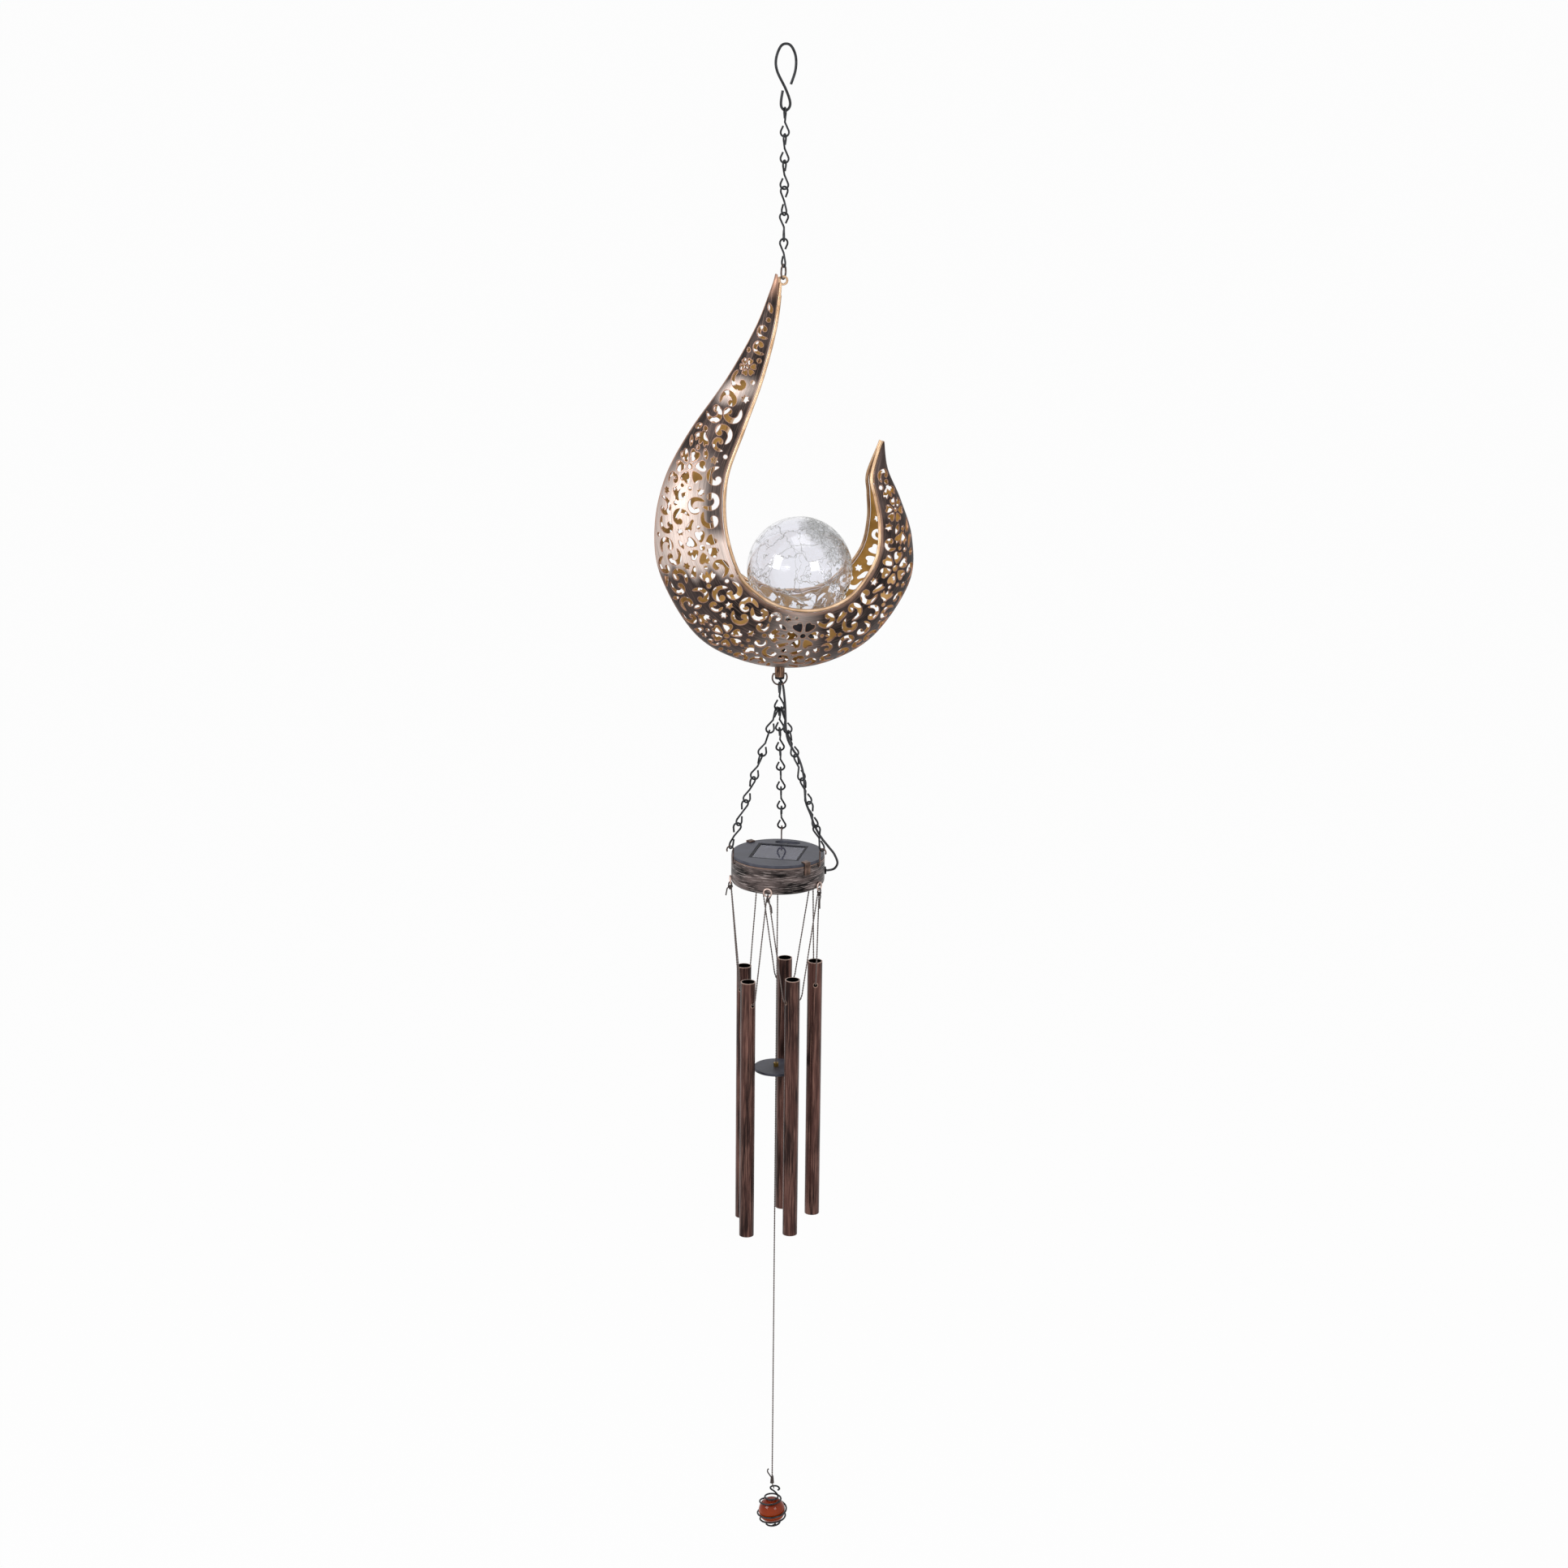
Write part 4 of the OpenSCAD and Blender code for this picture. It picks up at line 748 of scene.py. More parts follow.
# What stands round a flower: a unit, its turn, and its place beside and along the limb
COMPANY = [(FAN, 180, 0, 20.4), (FAN, 0, 0, -20.4), ([dot(1.1)], 0, 0, 11.6),
           ([dot(1.1)], 0, 0, -11.6), (PAIR, 0, 0, 28.2), (PAIR, 180, 0, -28.2)]
COMPANY += [([STAR], 0, x, y) for y in (9.8, -9.8) for x in (11.2, -11.2)]
print("a flower of", len(FLOWER), "holes with", len(COMPANY), "units round it")

# %% Room on the blank
EDGE_ROOM, HOLE_ROOM = 1.5, 1.0
FIRST_U, LAST_U, BOSS_U = 0.8, END_U - 0.5, 9.75


def tree_of(points):
    """Search tree for the nearest of flat points."""
    tree = kdtree.KDTree(len(points))
    for k, (x, y) in enumerate(points):
        tree.insert((x, y, 0), k)
    tree.balance()
    return tree


across = np.linspace(0, 1, 60)
boss_at = on_blank(np.array([BOSS_U]), np.array([1.0]))[0]
limit_tree = tree_of(np.concatenate(
    [on_blank(BLANK_U, np.full(len(BLANK_U), v)) for v in (0.0, 1.0)]
    + [on_blank(np.full(len(across), u), across) for u in (FIRST_U, LAST_U)]
    + [dot(r, 24) + boss_at for r in (1.0, 2.7, 4.4)]))
holes, hole_tree = [], tree_of([(999, 999)])
print("holes stay off the boss at", boss_at.round(1))


def inside(point, outline):
    """True if the outline goes round the point."""
    (x, y), (x0, y0), (x1, y1) = point, outline.T, np.roll(outline, -1, 0).T
    cross = (y0 > y) != (y1 > y)
    rise = np.where(cross, y1 - y0, 1)
    return bool((cross & (x < (x1 - x0) * (y - y0) / rise + x0)).sum() % 2)


def pierce(unit, angle, here, room=HOLE_ROOM):
    """Cuts a unit of outlines if all of it has room to the blank's edges and to other holes."""
    global hole_tree
    placed = [turned(outline, angle, *here) for outline in unit]
    for outline in placed:
        for x, y in outline:
            if (hole_tree.find((x, y, 0))[2] < room
                    or limit_tree.find((x, y, 0))[2] < EDGE_ROOM):
                return False
    for outline in placed:
        u, reach, width = from_blank(outline[:1])
        if u[0] < FIRST_U or u[0] > LAST_U or not 0 < reach[0] < width[0]:
            return False
        middle = outline.mean(0)
        if any(inside(middle, h) or inside(h.mean(0), outline) for h in holes):
            return False
    holes.extend(placed)
    hole_tree = tree_of(np.concatenate(holes))
    return True


# %% Place the holes
FLOWERS = [(2.75, 0.5), (4.7, 0.6), (6.35, 0.3), (8.3, 0.62), (9.9, 0.3), (11.5, 0.55),
           (13.1, 0.36), (14.7, 0.5)]
FLOWER_SIZES = (1, 0.9, 0.8, 0.7, 0.6, 0.5)
QUARTERS, SIXTHS = (0, 90, 180, 270), (0, 60, 120, 180, 240, 300)
EIGHTHS = (0, 45, 90, 135, 180, 225, 270, 315)
SCATTER_U, SIDE_ROOM, LIMIT_CLEAR = 0.85, 2, 3


def lean_at(u, v):
    """Point of the blank at u and v, and the limb's direction there in degrees from upright."""
    here, ahead = on_blank(np.array([u, u + 0.05]), np.array([v, v]))
    return here, np.degrees(np.arctan2(*(ahead - here)[::-1])) - 90


def scatter(unit, angles, step, clear, room=HOLE_ROOM):
    """Goes over the blank in steps of mm and cuts the unit wherever its middle is that clear."""
    for row, u in enumerate(np.arange(SCATTER_U, LAST_U, step / (ALONG[-1] / END_U))):
        width = np.interp(u, BLANK_U, BLANK_L)
        start = SIDE_ROOM + step / 2 * (row % 2)
        for v in np.arange(start, width - SIDE_ROOM, step) / width:
            here, lean = lean_at(u, v)
            if (hole_tree.find((*here, 0))[2] >= clear
                    and limit_tree.find((*here, 0))[2] >= min(clear, LIMIT_CLEAR)):
                any(pierce(unit, lean + angle, here, room) for angle in angles)


for u, v in FLOWERS:
    here, lean = lean_at(u, v)
    size = next((s for s in FLOWER_SIZES if pierce([s * part for part in FLOWER], lean, here)), 0)
    print("flower at", u, "cut at", size)
    for unit, angle, x, y in COMPANY if size else ():
        pierce(unit, lean + angle, here + turned(size * np.array([(x, y)]), lean)[0])
print(len(holes), "holes with the flowers")
scatter(PAIR, QUARTERS, 2.0, 2.0)
scatter([SCROLL], EIGHTHS, 1.8, 3.2)
scatter(FAN, QUARTERS, 2.2, 3.0)
print(len(holes), "with the scrolls and fans")
scatter([0.72 * SCROLL * (-1, 1)], QUARTERS, 2.0, 2.4)
scatter([LEAF - (3.6, 0)], SIXTHS, 2.4, 2.6, 1.2)
scatter([STAR], (0, 30), 2.4, 3.6, 1.3)
scatter([LENS], (0, 60, 120), 2.4, 2.6, 1.3)
scatter([dot(1.2)], (0,), 2.6, 2.6, 1.5)
print(len(holes), "in all")

# %% [markdown]
# ## From blank to sheet
# No mesh operator fills a sheet round some two hundred holes, so this is the one piece whose points
# the script works out itself. The limb is laid straight as a strip, the outlines and a grid of
# points are joined by a constrained triangulation, the triangles inside the holes are left out,
# and the strip is bent. Each point also notes how worn it is: full at a hole's edge, none a little
# way off. It notes too where broad places on the limb are rubbed back by hand and lightened further
# as a painted highlight.

# %% Fill the strip
STRIP_X, STRIP_Y, STRIP_ROOM = 20.0, 40.0, 0.9
GRID_U, GRID_V, HEM = 0.1, 22, 0.42
strip, tags, edges, cuts = [], [], [], []


def lay(points, tag, ring=True):
    """Adds strip points with their tag, joined in a ring or not, and gives their numbers."""
    numbers = list(range(len(strip), len(strip) + len(points)))
    strip.extend(points)
    tags.extend([tag] * len(points))
    if ring:
        edges.extend(zip(numbers, numbers[1:] + numbers[:1]))
    return numbers


edge_u, edge_v = np.arange(0, END_U + 0.01, GRID_U), np.linspace(0, 1, GRID_V + 1)
lay([(u, 0) for u in edge_u] + [(END_U, v) for v in edge_v[1:]]
    + [(u, 1) for u in edge_u[-2::-1]] + [(0, v) for v in edge_v[-2:0:-1]], 0.5)
for outline in holes:
    ahead = np.roll(outline, -1, 0)
    facing = ahead - np.roll(outline, 1, 0)
    way = np.sign((outline[:, 0] * ahead[:, 1] - ahead[:, 0] * outline[:, 1]).sum())
    outward = way * np.column_stack([facing[:, 1], -facing[:, 0]])
    outward /= np.linalg.norm(facing, axis=1)[:, None]
    for ring, tag in ((outline, 1.0), (outline + HEM * outward, 0.0)):
        u, t, width = from_blank(ring)
        loop = lay(list(zip(u, t / width)), tag)
        if tag:
            area = (u * np.roll(t, -1) - np.roll(u, -1) * t).sum()
            cuts.append(loop if area > 0 else loop[::-1])
taken = np.array(strip) * (STRIP_X, STRIP_Y)
for u in edge_u[1:-1]:
    lay([(u, v) for v in edge_v[1:-1]
         if np.abs(taken - (u * STRIP_X, v * STRIP_Y)).sum(1).min() > STRIP_ROOM], 0.0, ring=False)
points = [Vector((u * STRIP_X, v * STRIP_Y)) for u, v in strip]
spots, _, faces, from_points, _, from_cuts = delaunay_2d_cdt(points, edges, cuts, 0, 1e-5)
kept = [face for face, came in zip(faces, from_cuts) if not came]
print(len(kept), "faces in a sheet")

# %% Bend the strip and note its wear
flat_u, flat_v = (np.array([tuple(p) for p in spots]) / (STRIP_X, STRIP_Y)).T
bent = dished(np.clip(flat_u, 0, END_U), np.clip(flat_v, 0, 1))
in_mm = np.column_stack([np.interp(flat_u, BLANK_U, ALONG),
                         flat_v * np.interp(flat_u, BLANK_U, BLANK_L)])


def ramp(value, start, end):
    """0 before start, 1 after end, straight between them."""
    return np.clip((value - start) / (end - start), 0, 1)


wear = np.array([max((tags[i] for i in came), default=0.0) for came in from_points])
wear = np.maximum(wear, 0.9 * ramp(flat_u, 1.35, 0.65))
# Rubbed by hand and lightened as a painted highlight, brighter lower down: the outer limb up to a
# ragged edge, a spot above it, and the bowl
height, over = bent[:, 2] - LUG_Z, in_mm[:, 1]
ragged = height + 2.5 * np.sin(0.31 * over + 0.6) + 1.6 * np.sin(0.83 * over)
limb = ramp(ragged, -165, -158) * ramp(height, -92, -118) * (bent[:, 0] < 20)
limb *= 0.78 + 0.22 * ramp(height, -118, -144)
limb *= 1 - 0.9 * ramp(flat_v, 0.3, 0.18) * ramp(height, -144, -136)
limb *= 1 - 0.25 * ramp(flat_v, 0.55, 0.85)
above = 0.9 * np.clip(1.4 - 1.4 * np.hypot((flat_u - 3.2) / 0.3, (flat_v - 0.5) / 0.6), 0, 1)
bowl = 0.45 * ramp(np.abs(flat_u - 9.6), 0.9, 0)

front_mesh = bpy.data.meshes.new("pierced_sheet_front")
front_mesh.from_pydata(bent * MM, [], kept)
for name, values in (("wear", wear), ("rub", np.maximum(np.maximum(limb, above), bowl))):
    note = front_mesh.attributes.new(name, "FLOAT", "POINT")
    note.data.foreach_set("value", values.astype(np.float32))
    print(name, "mean", round(values.mean(), 2))
corner = np.array([loop.vertex_index for loop in front_mesh.loops])
limb_mm = front_mesh.uv_layers.new(name="limb_mm")
limb_mm.data.foreach_set("uv", in_mm[corner].ravel().astype(np.float32))

# %% Sheet finish
SHEET_T = 0.8
# Lacquered bronze brushed along the limb, copper at the cut edges, and silvery where it is rubbed
# and where a highlight is painted
sheet_bronze, tree, shader, skin, stroke = brushed(
    "brushed antique bronze sheet", "UV", (20, 0.55, 1), ("#1f1918", "#433836", "#8d7569"),
    (22, 22, 22), rough=(0.42, 0.56), strength=0.55)
edge, rub = (add(tree, "Attribute", attribute_name=name).outputs["Fac"] for name in ("wear", "rub"))
uneven = add(tree, "MapRange", stroke, 0.32, 0.6, 0.6, 1)
# The silvery colour stands for rubbed bronze and for a painted highlight at once
bright = add(tree, "Math", rub, uneven, operation="MULTIPLY")
silvered = add(tree, "Mix", bright, skin, "#e4d2c9", data_type="RGBA")
worn = add(tree, "Math", edge, 0.75, operation="MULTIPLY")
feed(shader, Base_Color=add(tree, "Mix", worn, silvered, "#c79b84", data_type="RGBA"))


def finish_sheet(mesh, node, back):
    """Marks the cut edges sharp, turns the sheet the right way out and gives it its thickness."""
    bm = bmesh.new()
    bm.from_mesh(mesh)
    if back:
        bmesh.ops.transform(bm, matrix=Matrix.Scale(-1, 4, (0, 1, 0)), verts=bm.verts)
    loose = [v for v in bm.verts if not v.link_faces]
    bmesh.ops.delete(bm, geom=loose, context="VERTS")
    bmesh.ops.recalc_face_normals(bm, faces=bm.faces)
    outside = sum(f.normal.y * f.calc_area() for f in bm.faces) * (1 if back else -1)
    if outside < 0:
        bmesh.ops.reverse_faces(bm, faces=bm.faces)
    for edge in bm.edges:
        edge.smooth = not edge.is_boundary
    bm.to_mesh(mesh)
    bm.free()
    mesh.polygons.foreach_set("use_smooth", np.ones(len(mesh.polygons), bool))
    finishes = [sheet_bronze, ochre_inside, edge_copper]
    gauge = settle(mesh, "crescent", finishes, "bronze_sheet", node).modifiers.new(
        "sheet_gauge", "SOLIDIFY")
    gauge.thickness, gauge.offset = SHEET_T * MM, 0
    gauge.material_offset, gauge.material_offset_rim = 1, 2


back_mesh = front_mesh.copy()
back_mesh.name = "pierced_sheet_back"
finish_sheet(front_mesh, "crescent_front", False)
finish_sheet(back_mesh, "crescent_back", True)

# %% [markdown]
# ## Rolled rims and seam
# The mouth of each sheet is rolled round a wire, and solder runs along the seam. Rolling the
# sheet's own edge would need many narrow faces; a wire swept along the rim gives the same round
# lip. Near the tip the rolls get thinner, so they end in a piece of their own.

# %% Rolled rims and seam
TIP_START, RIM_START, TIP_LAP = 0.72, 1.2, 0.05
TIP_WIRE, TIP_INSET = 1.5, 0.25
SEAM_WIRE, SOLDER_INSET, SOLDER_FROM, SOLDER_TO = 0.9, 0.35, 0.35, END_U - 0.15
RIM_POINTS, TIP_POINTS, SEAM_POINTS = 220, 24, 240
for start, end, count, inset, wire, sides, names in (
        (RIM_START, END_U, RIM_POINTS, 0, RIM_WIRE, 12, ("rim_wire_front", "rim_wire_back")),
        (TIP_START, RIM_START + TIP_LAP, TIP_POINTS, TIP_INSET, TIP_WIRE, 10,
         ("rim_tip_front", "rim_tip_back"))):
    rim_u = np.linspace(start, end, count)
    seam, rim = stations(rim_u)
    opening = mouth_half(rim_u, np.linalg.norm(seam - rim, axis=1)) - inset
    for side, name in zip((-1, 1), names):
        line = np.column_stack([rim[:, 0], side * opening, LUG_Z + rim[:, 1]])
        rolled = name in body_of
        settle(sweep(name + "_rolled" * rolled, line, wire, sides), "crescent", copper_trim,
               "copper_trim", *[name] * rolled)
seam, rim = stations(np.linspace(SOLDER_FROM, SOLDER_TO, SEAM_POINTS))
seam += SOLDER_INSET * (rim - seam) / np.linalg.norm(rim - seam, axis=1)[:, None]
line = np.column_stack([seam[:, 0], np.zeros(len(seam)), LUG_Z + seam[:, 1]])
settle(sweep("solder_seam", line, SEAM_WIRE, 8), "crescent", edge_copper, "copper_trim")

# %% [markdown]
# ## Glass globe
# The globe is blown glass that was dipped in water while hot, so a net of fine cracks runs through
# its wall. Cut cracks would need a very fine mesh; the borders of irregular cells in the material
# give the same net, dense in one band and sparse elsewhere. The shape is spun from its profile,
# wall and neck in one.

# %% Globe shape
GLOBE_R, GLOBE_WALL = 30.5, 1.6
GLOBE_AT = Vector((11.1909, 0, -295.143))
NECK_R, NECK_BORE_R, NECK_LOW, NECK_EDGE, BORE_EDGE = 9.0, 7.4, -34.5, 0.5, 0.3
GLOBE_ARC, GLOBE_STEPS = 48, 96
ON_AXIS, SPUN_MERGE_MM, SPUN_SHARP = 1e-6, 0.001, radians(40)


def arc(radius, start, end, count):
    """Points of a round profile between two angles; those on the axis are exactly on it."""
    across = [(radius * cos(a), radius * sin(a)) for a in np.linspace(start, end, count)]
    return [(r if r > ON_AXIS * radius else 0.0, z) for r, z in across]


def spun(name, profile, steps, middle):
    """Mesh of a profile of radius and height in mm, turned round the upright through middle."""
    bm = bmesh.new()
    ends = [bm.verts.new((r * MM, 0, z * MM)) for r, z in profile]
    wire = [bm.edges.new(pair) for pair in zip(ends, ends[1:])]
    bmesh.ops.spin(bm, geom=ends + wire, cent=(0, 0, 0), axis=(0, 0, 1), angle=2 * pi, steps=steps,
                   use_merge=True)
    bmesh.ops.remove_doubles(bm, verts=bm.verts, dist=SPUN_MERGE_MM * MM)
    bmesh.ops.recalc_face_normals(bm, faces=bm.faces)
    bmesh.ops.translate(bm, verts=bm.verts, vec=Vector(middle) * MM)
    mesh = to_mesh(bm, name)
    mesh.shade_smooth()
    mesh.set_sharp_from_angle(angle=SPUN_SHARP)
    return mesh


inner_r = GLOBE_R - GLOBE_WALL
profile = arc(GLOBE_R, pi / 2, -np.arccos(NECK_R / GLOBE_R), GLOBE_ARC)
profile += [(NECK_R, NECK_LOW + NECK_EDGE), (NECK_R - NECK_EDGE, NECK_LOW),
            (NECK_BORE_R + BORE_EDGE, NECK_LOW), (NECK_BORE_R, NECK_LOW + BORE_EDGE)]
profile += arc(inner_r, -np.arccos(NECK_BORE_R / inner_r), pi / 2, GLOBE_ARC)
globe_mesh = spun("crackle_globe", profile, GLOBE_STEPS, GLOBE_AT)
print("globe", 2 * GLOBE_R, "mm across with a wall of", GLOBE_WALL, "mm")

# %% Crackle glass
# Soda glass: clear, with sharp highlights; its cracks catch the light as grey lines. Two nets of
# cells, 21 and 4.5 mm, are swayed by a noise so that no line is straight
crackle_glass, tree, shader, place = new_material("crackle glass")
sway = add(tree, "TexNoise", place, 1 / (9 * MM), 3).outputs["Color"]
spread = add(tree, "VectorMath", sway, 12 * MM, operation="SCALE")
moved = add(tree, "VectorMath", place, spread, operation="ADD")
net, fine = (add(tree, "TexVoronoi", moved, 1 / (cell * MM), feature="DISTANCE_TO_EDGE")
             for cell in (21, 4.5))
line_wide = add(tree, "MapRange", net, 0.002, 0.009, 0.8, 0)
line_fine = add(tree, "MapRange", fine, 0, 0.06, 1, 0)
# The crackle is densest in a slanting band over the top right
band = add(tree, "TexNoise", place, 1 / (24 * MM), 2)
toward = add(tree, "VectorMath", place, tuple(-GLOBE_AT * MM), operation="ADD")
lean = add(tree, "VectorMath", toward, (0.74, 0.05, 0.67), operation="DOT_PRODUCT")
ragged = add(tree, "Math", band, 22 * MM, -11 * MM, operation="MULTIPLY_ADD")
depth = add(tree, "Math", lean, ragged, operation="ADD")
dense = add(tree, "MapRange", depth, 18 * MM, 22 * MM)
fine_here = add(tree, "Math", line_fine, dense, operation="MULTIPLY")
crack = add(tree, "Math", line_wide, fine_here, operation="MAXIMUM")
clear = add(tree, "MapRange", crack, 0, 1, 1, 0.6)
milky = add(tree, "Math", dense, 0.28, operation="MULTIPLY")
clouded = add(tree, "Math", crack, milky, operation="MAXIMUM")
tint = add(tree, "Mix", clouded, "#f4f4f8", "#8f938a", data_type="RGBA")
frost = add(tree, "MapRange", crack, 0, 1, 0.02, 0.25)
# The lower glass is wavy, so what lies behind it breaks up into blots
low = add(tree, "SeparateXYZ", toward).outputs["Z"]
deep = add(tree, "MapRange", low, -4 * MM, -16 * MM)
blot = add(tree, "TexNoise", place, 1 / (11 * MM), 1)
wave = add(tree, "Math", blot, deep, operation="MULTIPLY")
waved = add(tree, "Bump", Strength=0.5, Distance=4 * MM, Height=wave)
step = add(tree, "Bump", Strength=0.6, Distance=0.15 * MM, Height=crack, Normal=waved)
feed(shader, Base_Color=tint, Transmission_Weight=clear, Roughness=frost, IOR=1.46, Normal=step)
globe = settle(globe_mesh, "crescent", crackle_glass, "clear_glass", "glass_globe")
# Clear glass lets the light through: no shadow on the ochre round it, and no stray light from it
globe.visible_shadow = globe.visible_diffuse = False

# %% [markdown]
# ## Hook, chains and rings
# The hook is one piece of bent wire, swept here along its own line. The links and rings could be
# swept too, but the CAD model already has their wire; a merged copy of each is shaded smooth, so
# the wire reads as round.

# %% Wire pieces
HOOK_WIRE, HOOK_SHRINK, HOOK_TOP = 1.5, 0.96395, 0.75
HOOK = np.array([(3.2, -22), (5.7, -14), (5.8, -6.5), (3.4, -0.8), (0.2, 0.75), (-2.9, -1),
                 (-5.3, -7.6), (-4.6, -14.6), (0.2, -24.4), (2.7, -31.2), (2.5, -34.8),
                 (0.3, -36.7), (-1.9, -34.9), (-2.3, -31.6), (-1.4, -25.4)])
line = np.column_stack([HOOK[:, 0], np.zeros(len(HOOK)),
                        HOOK_TOP + (HOOK[:, 1] - HOOK_TOP) * HOOK_SHRINK])
settle(sweep("hanging_hook_wire", smooth_line(line, 8), HOOK_WIRE, 14), "hook", black_wire,
       "black_wire", "hanging_hook")
for node in [f"chain_link_{k + 1}" for k in range(6)] + [
        "sling_chain_left", "sling_chain_back", "sling_chain_right", "sling_hook"]:
    smooth_copy(node, black_wire, "black_wire")
for node in ("tip_ring", "boss_ring", "rim_hooks"):
    smooth_copy(node, brown_wire, "copper_trim")
smooth_copy("cord_eyes", copper_wire, "copper_trim")
smooth_copy("tip_lug", copper_trim, "copper_trim", 0.25)
smooth_copy("boss", boss_copper, "copper_trim", 0.2)
smooth_copy("cable_gland", black_rubber, "black_rubber")
smooth_copy("lamp_cup", black_plastic, "black_plastic")
smooth_copy("lamp_bracket", black_wire, "black_wire")

# %% [markdown]
# ## Solar housing
# The pan is spun bronze with strokes that run round it. The lid is a grey moulding with a square
# window, where the dark cell lies under a clear cast pane with a black gasket round it; the gasket
# also darkens the window's sunken edge as painted shade. The CAD pane fills the window to the top;
# a copy of it would hide the lid's edge, so here a thinner pane is made and lies sunk in the
# window.

# %% Housing
# A cell is etched silicon: dark, dull, and split into crystals a few millimetres wide
silicon, tree, shader, place = new_material("etched silicon cell")
facet = add(tree, "TexVoronoi", place, 1 / (3 * MM))
crystal = add(tree, "Mix", facet, "#2c2d38", "#3d3e4e", data_type="RGBA")
feed(shader, Base_Color=crystal, Roughness=0.5)

# Cast resin shines like glass. Its index is set below the real 1.5, and its shine is tinted, since
# the thin pane would otherwise mirror so much white that the cell under it is lost
cover_resin, tree, shader, place = new_material("clear cast resin")
ripple = add(tree, "TexNoise", place, 1 / (12 * MM))
haze = add(tree, "MapRange", ripple, 0, 1, 0, 0.03)
feed(shader, Base_Color="#e8e8ee", Roughness=haze, Transmission_Weight=1.0, IOR=1.12,
     Specular_Tint="#b8b8c4")

smooth_copy("housing_pan", pan_bronze, "bronze_sheet")
smooth_copy("retaining_tabs", tab_bronze, "bronze_sheet", 0.15)
smooth_copy("solar_lid", grey_plastic, "black_plastic", 0.3)
smooth_copy("solar_cell", silicon, "silicon")

# %% Pane and gasket
LID_TOP, LID_TURN, CELL_Y, CELL_SIDE = -465.798, radians(-24), 1.0, 30.0
PANE_SINK, PANE_T, PANE_PLAY, PANE_EDGE = 0.45, 0.14, 0.2, 0.05
GASKET_W, GASKET_T, GASKET_PLAY = 1.3, 0.3, 0.15


def in_window(bm, name, rise):
    """Moves a flat piece from the origin to the window, that far above the pane's top."""
    middle = Vector((0, CELL_Y, LID_TOP - PANE_SINK + rise))
    bmesh.ops.translate(bm, vec=middle * MM, verts=bm.verts)
    bmesh.ops.rotate(bm, cent=(0, 0, 0), matrix=Matrix.Rotation(LID_TURN, 3, "Z"), verts=bm.verts)
    return to_mesh(bm, name)


bm = bmesh.new()
bmesh.ops.create_cube(bm, size=1)
pane_side = CELL_SIDE - PANE_PLAY
bmesh.ops.scale(bm, vec=Vector((pane_side, pane_side, PANE_T)) * MM, verts=bm.verts)
bmesh.ops.bevel(bm, geom=bm.edges[:], offset=PANE_EDGE * MM, affect="EDGES", segments=2,
                profile=0.5, material=-1)
cell_pane = settle(in_window(bm, "cell_pane", -PANE_T / 2), "sling", cover_resin, "clear_resin",
                   "cell_cover")
cell_pane.visible_shadow = cell_pane.visible_diffuse = False

# The gasket is black rubber over the pane's edge; it also darkens the sunken edge as painted shade
bm = bmesh.new()
bmesh.ops.create_grid(bm, x_segments=1, y_segments=1, size=(CELL_SIDE / 2 - GASKET_PLAY) * MM)
bmesh.ops.inset_region(bm, faces=bm.faces[:], thickness=GASKET_W * MM, use_boundary=True,
                       use_even_offset=True)
middle = [f for f in bm.faces if all(not e.is_boundary for e in f.edges)]
bmesh.ops.delete(bm, geom=middle, context="FACES")
bmesh.ops.solidify(bm, geom=bm.faces[:], thickness=GASKET_T * MM)
bmesh.ops.recalc_face_normals(bm, faces=bm.faces)
settle(in_window(bm, "cell_gasket_edge_shade", GASKET_T), "sling", black_rubber, "black_rubber")
smooth_copy("switch_slider", black_plastic, "black_plastic", 0.2)
smooth_copy("cable_grommet", black_rubber, "black_rubber")

# %% [markdown]
# ## Tubes and striker
# Each tube is drawn pipe with the same rubbed bronze, brushed along its length. Its rubbed ends and
# holes could be pieces of their own; a note of each point's place on the tube is enough, because
# the finish reads it, lightens the ends and holes further as a painted highlight and paints the
# bore dark as shade. The striker is a moulded disc on a brass bead.

# %% Tubes and striker
TUBE_TOP_UP = TUBE_HOLE_DOWN - 0.45
for k, z_hole in enumerate(TUBE_CORD_Z):
    tube = smooth_copy(f"chime_tube_{k + 1}", tube_bronze, "bronze_tube")
    turn = radians(TUBE_ANGLE + 360 / TUBES * k)
    x, y, z = np.array([v.co for v in tube.data.vertices]).T / MM
    at = np.column_stack([x * cos(turn) + y * sin(turn) - TUBE_RING_R,
                          y * cos(turn) - x * sin(turn), z_hole + TUBE_TOP_UP - z])
    note = tube.data.attributes.new("tube_at", "FLOAT_VECTOR", "POINT")
    note.data.foreach_set("vector", at.ravel().astype(np.float32))
# Old brass is dull yellow with brown in its pores
brass = mottled("aged brass", "#6a5426", "#a8873f", 2, 0.9, 0.35)
smooth_copy("striker_disc", grey_plastic, "black_plastic", 0.3)
smooth_copy("striker_bead", brass, "brass")
smooth_copy("striker_knot", twisted_cord, "cord")

# %% [markdown]
# ## Marble and cage
# The sail is a marble of amber glass in a spiral of black wire that ends in a small S, where the
# cord is tied. Clear glass would show the white paper through it and turn pale, so the glass is
# opaque with a deep colour that brightens towards the bottom, where a real marble gathers light.

# %% Marble and cage
MARBLE_R, MARBLE_Z = 8.3, -899.842
GLOW_LOW, GLOW_HIGH = -908.1, -891.6
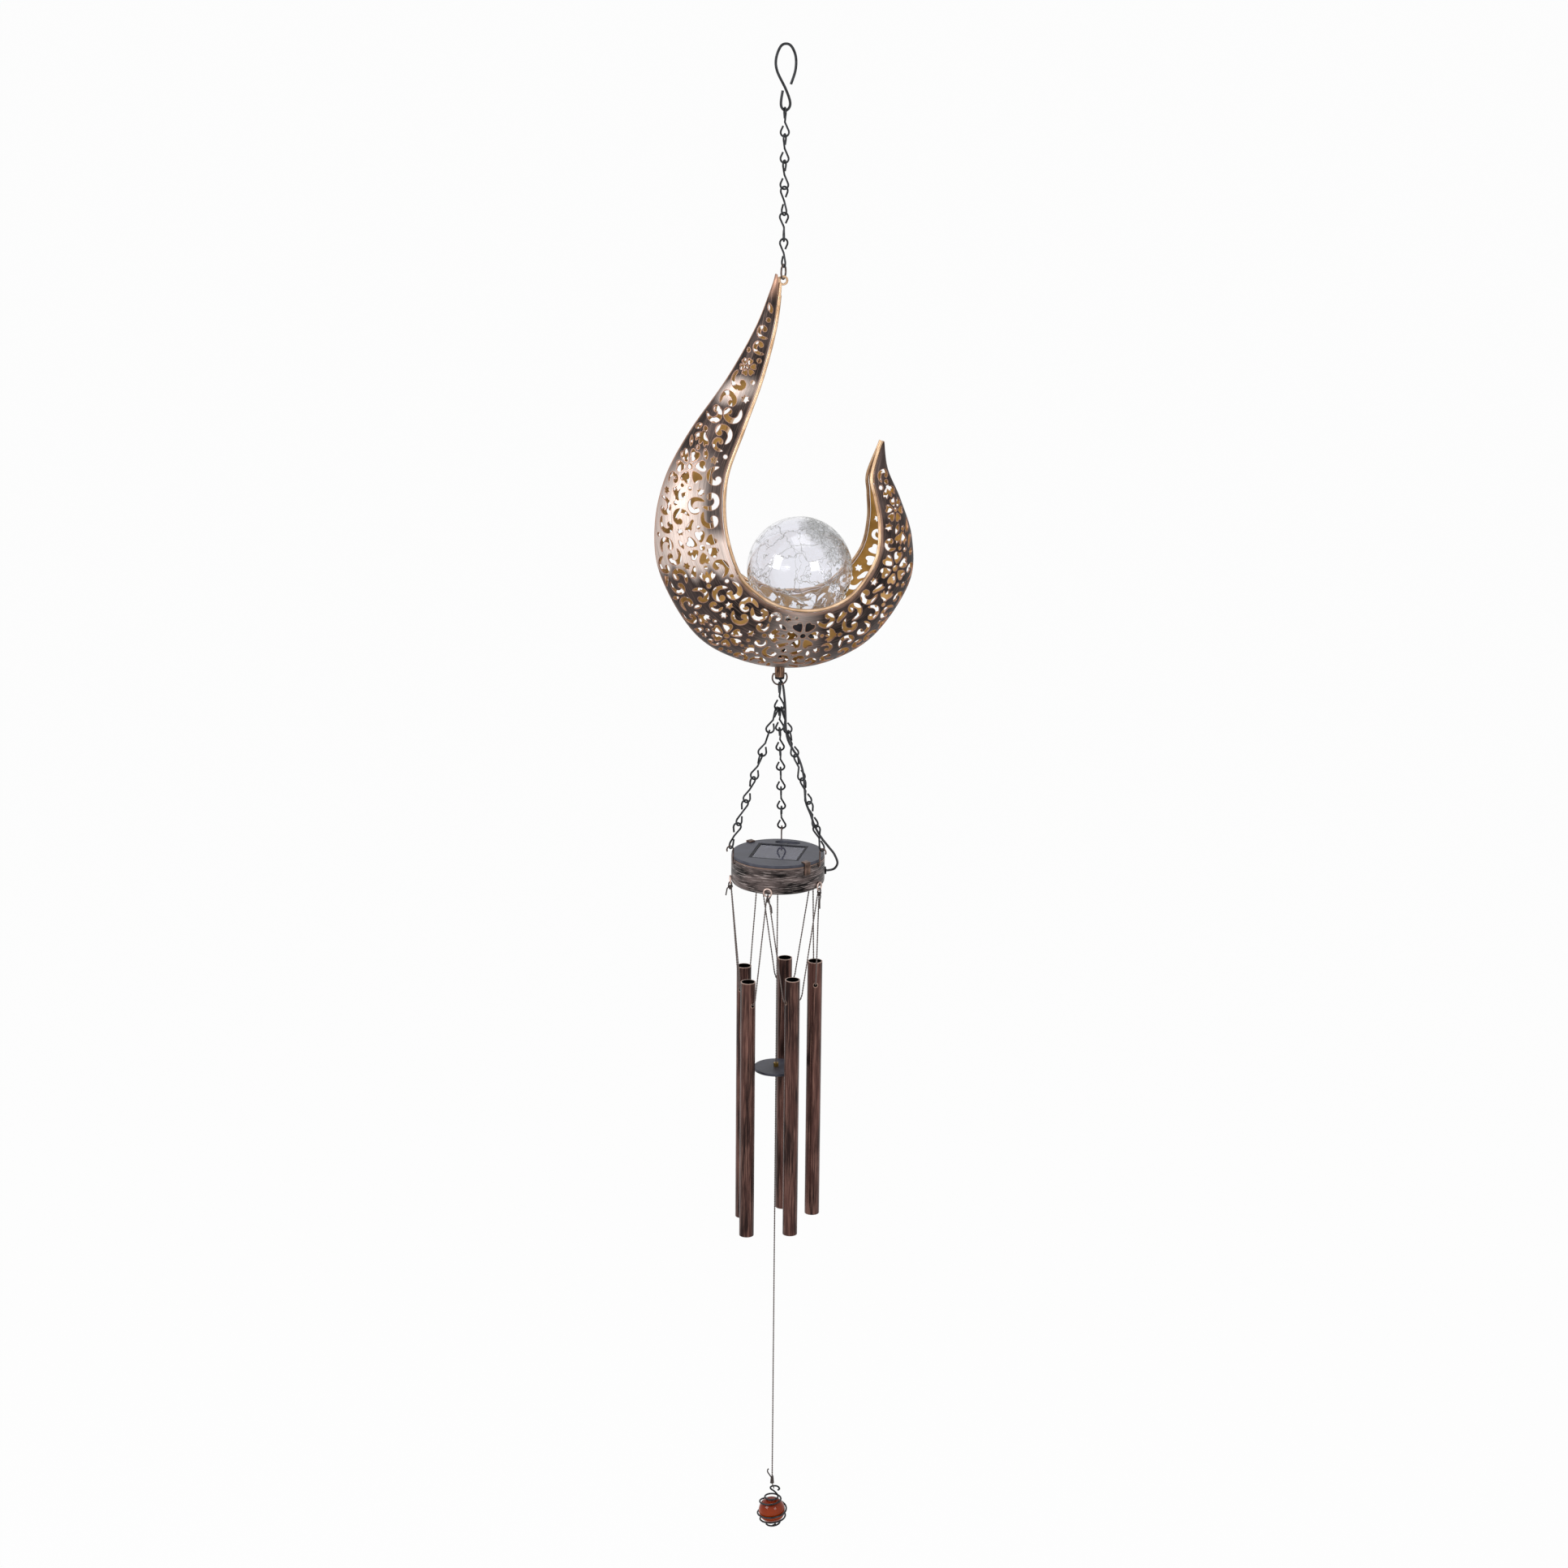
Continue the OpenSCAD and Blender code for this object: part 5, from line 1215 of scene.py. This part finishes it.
# Pressed glass: a hard bright highlight over a dark red that turns orange where light gathers
amber, tree, shader, place = new_material("amber glass")
swirl = add(tree, "TexNoise", place, 1 / (9 * MM), 2, Distortion=0.8)
up = add(tree, "SeparateXYZ", place).outputs["Z"]
gather = add(tree, "MapRange", up, GLOW_LOW * MM, GLOW_HIGH * MM, 0.75, 0.05)
mixed = add(tree, "Math", swirl, 0.5, gather, operation="MULTIPLY_ADD")
tone = add(tree, "Mix", mixed, "#600f00", "#aa3f00", data_type="RGBA")
feed(shader, Base_Color=tone, Roughness=0.05, IOR=1.5, Specular_IOR_Level=0.24)
settle(spun("amber_marble", arc(MARBLE_R, pi / 2, -pi / 2, 40), 64, (0, 0, MARBLE_Z)), "marble",
       amber, "amber_glass", "marble")

CAGE_R, CAGE_HALF, CAGE_WIRE, CAGE_TURNS, STEPS_A_COIL = 9.15, 10.2, 1.1, 5.25, 40
# Degrees from the top at each full turn, and the S at the end, from where the coil ends
CAGE_FALL = np.array([168, 152, 117, 93, 44, 26, 24], float)
CAGE_TAIL = np.array([(3.2, 0, 1.4), (1.4, 0, 3.6), (-0.7, 0, 5.4), (-0.9, 0, 6.7), (0.4, 0, 7.3),
                      (3.2, 0, 6.9), (4.8, 0, 5), (3.6, 0, 3.9)])
turns = np.linspace(0, CAGE_TURNS, int(CAGE_TURNS * STEPS_A_COIL) + 1)
fall = np.radians(spline_at(CAGE_FALL[:, None], turns)[:, 0])
around = 2 * pi * turns - pi / 2
coil = np.column_stack([CAGE_R * np.sin(fall) * np.cos(around),
                        CAGE_R * np.sin(fall) * np.sin(around), CAGE_HALF * np.cos(fall)])
tail = smooth_line(np.concatenate([coil[-1:], CAGE_TAIL + (0, 0, coil[-1][2])]), 8)[3:]
line = np.concatenate([coil, tail]) + (0, 0, MARBLE_Z)
settle(sweep("marble_cage_wire", line, CAGE_WIRE, 10), "marble", black_wire, "black_wire",
       "marble_cage")

# %% [markdown]
# ## Inside pieces
# The lamp's plug and lead and the parts under the lid are hidden in use. They could be left as they
# come, but the part may be opened, so each keeps its CAD shape and takes its own material's finish.

# %% Hidden pieces
# Silicone is milky and soft to the eye
pale_rubber = mottled("pale silicone rubber", "#cfccc4", "#e4e1da", 5, 0.0, 0.55)
# The lamp is cast in resin: pale, and shiny
led_resin = mottled("water clear LED resin", "#dcdcd2", "#f0f0e8", 4, 0.0, 0.2)
# The battery's sleeve is shrunk film: smooth, with a soft gloss
cell_can = mottled("printed cell sleeve", "#2f6b3a", "#46874f", 6, 0.1, 0.4)
# Nickel plate is bright and hardly toned
bright_steel = mottled("nickel plated steel", "#a9abad", "#d2d4d6", 3, 0.95, 0.28)
# Green solder lacquer over glass cloth: dark, half glossy
board_green = mottled("lacquered circuit board", "#12442a", "#1f6440", 4, 0.0, 0.35)
for node, material, slot in (
        ("globe_plug", pale_rubber, "pale_rubber"), ("lamp_led", led_resin, "led_resin"),
        ("lamp_lead", black_rubber, "black_rubber"), ("module_tub", black_plastic, "black_plastic"),
        ("battery", cell_can, "cell_can"), ("battery_contacts", bright_steel, "bright_steel"),
        ("circuit_board", board_green, "board"), ("board_screws", bright_steel, "bright_steel"),
        ("switch_body", black_plastic, "black_plastic")):
    part = frame["nodes"][node]
    part.data.materials.clear()
    part.data.materials.append(material)
    print("hidden:", node)

# %% [markdown]
# ## Size
# The box round all the shown pieces is printed. The visual model must stay in the CAD model's box.

# %% Size
low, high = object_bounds()
print("visual box", [round(v, 4) for v in low], "to", [round(v, 4) for v in high])
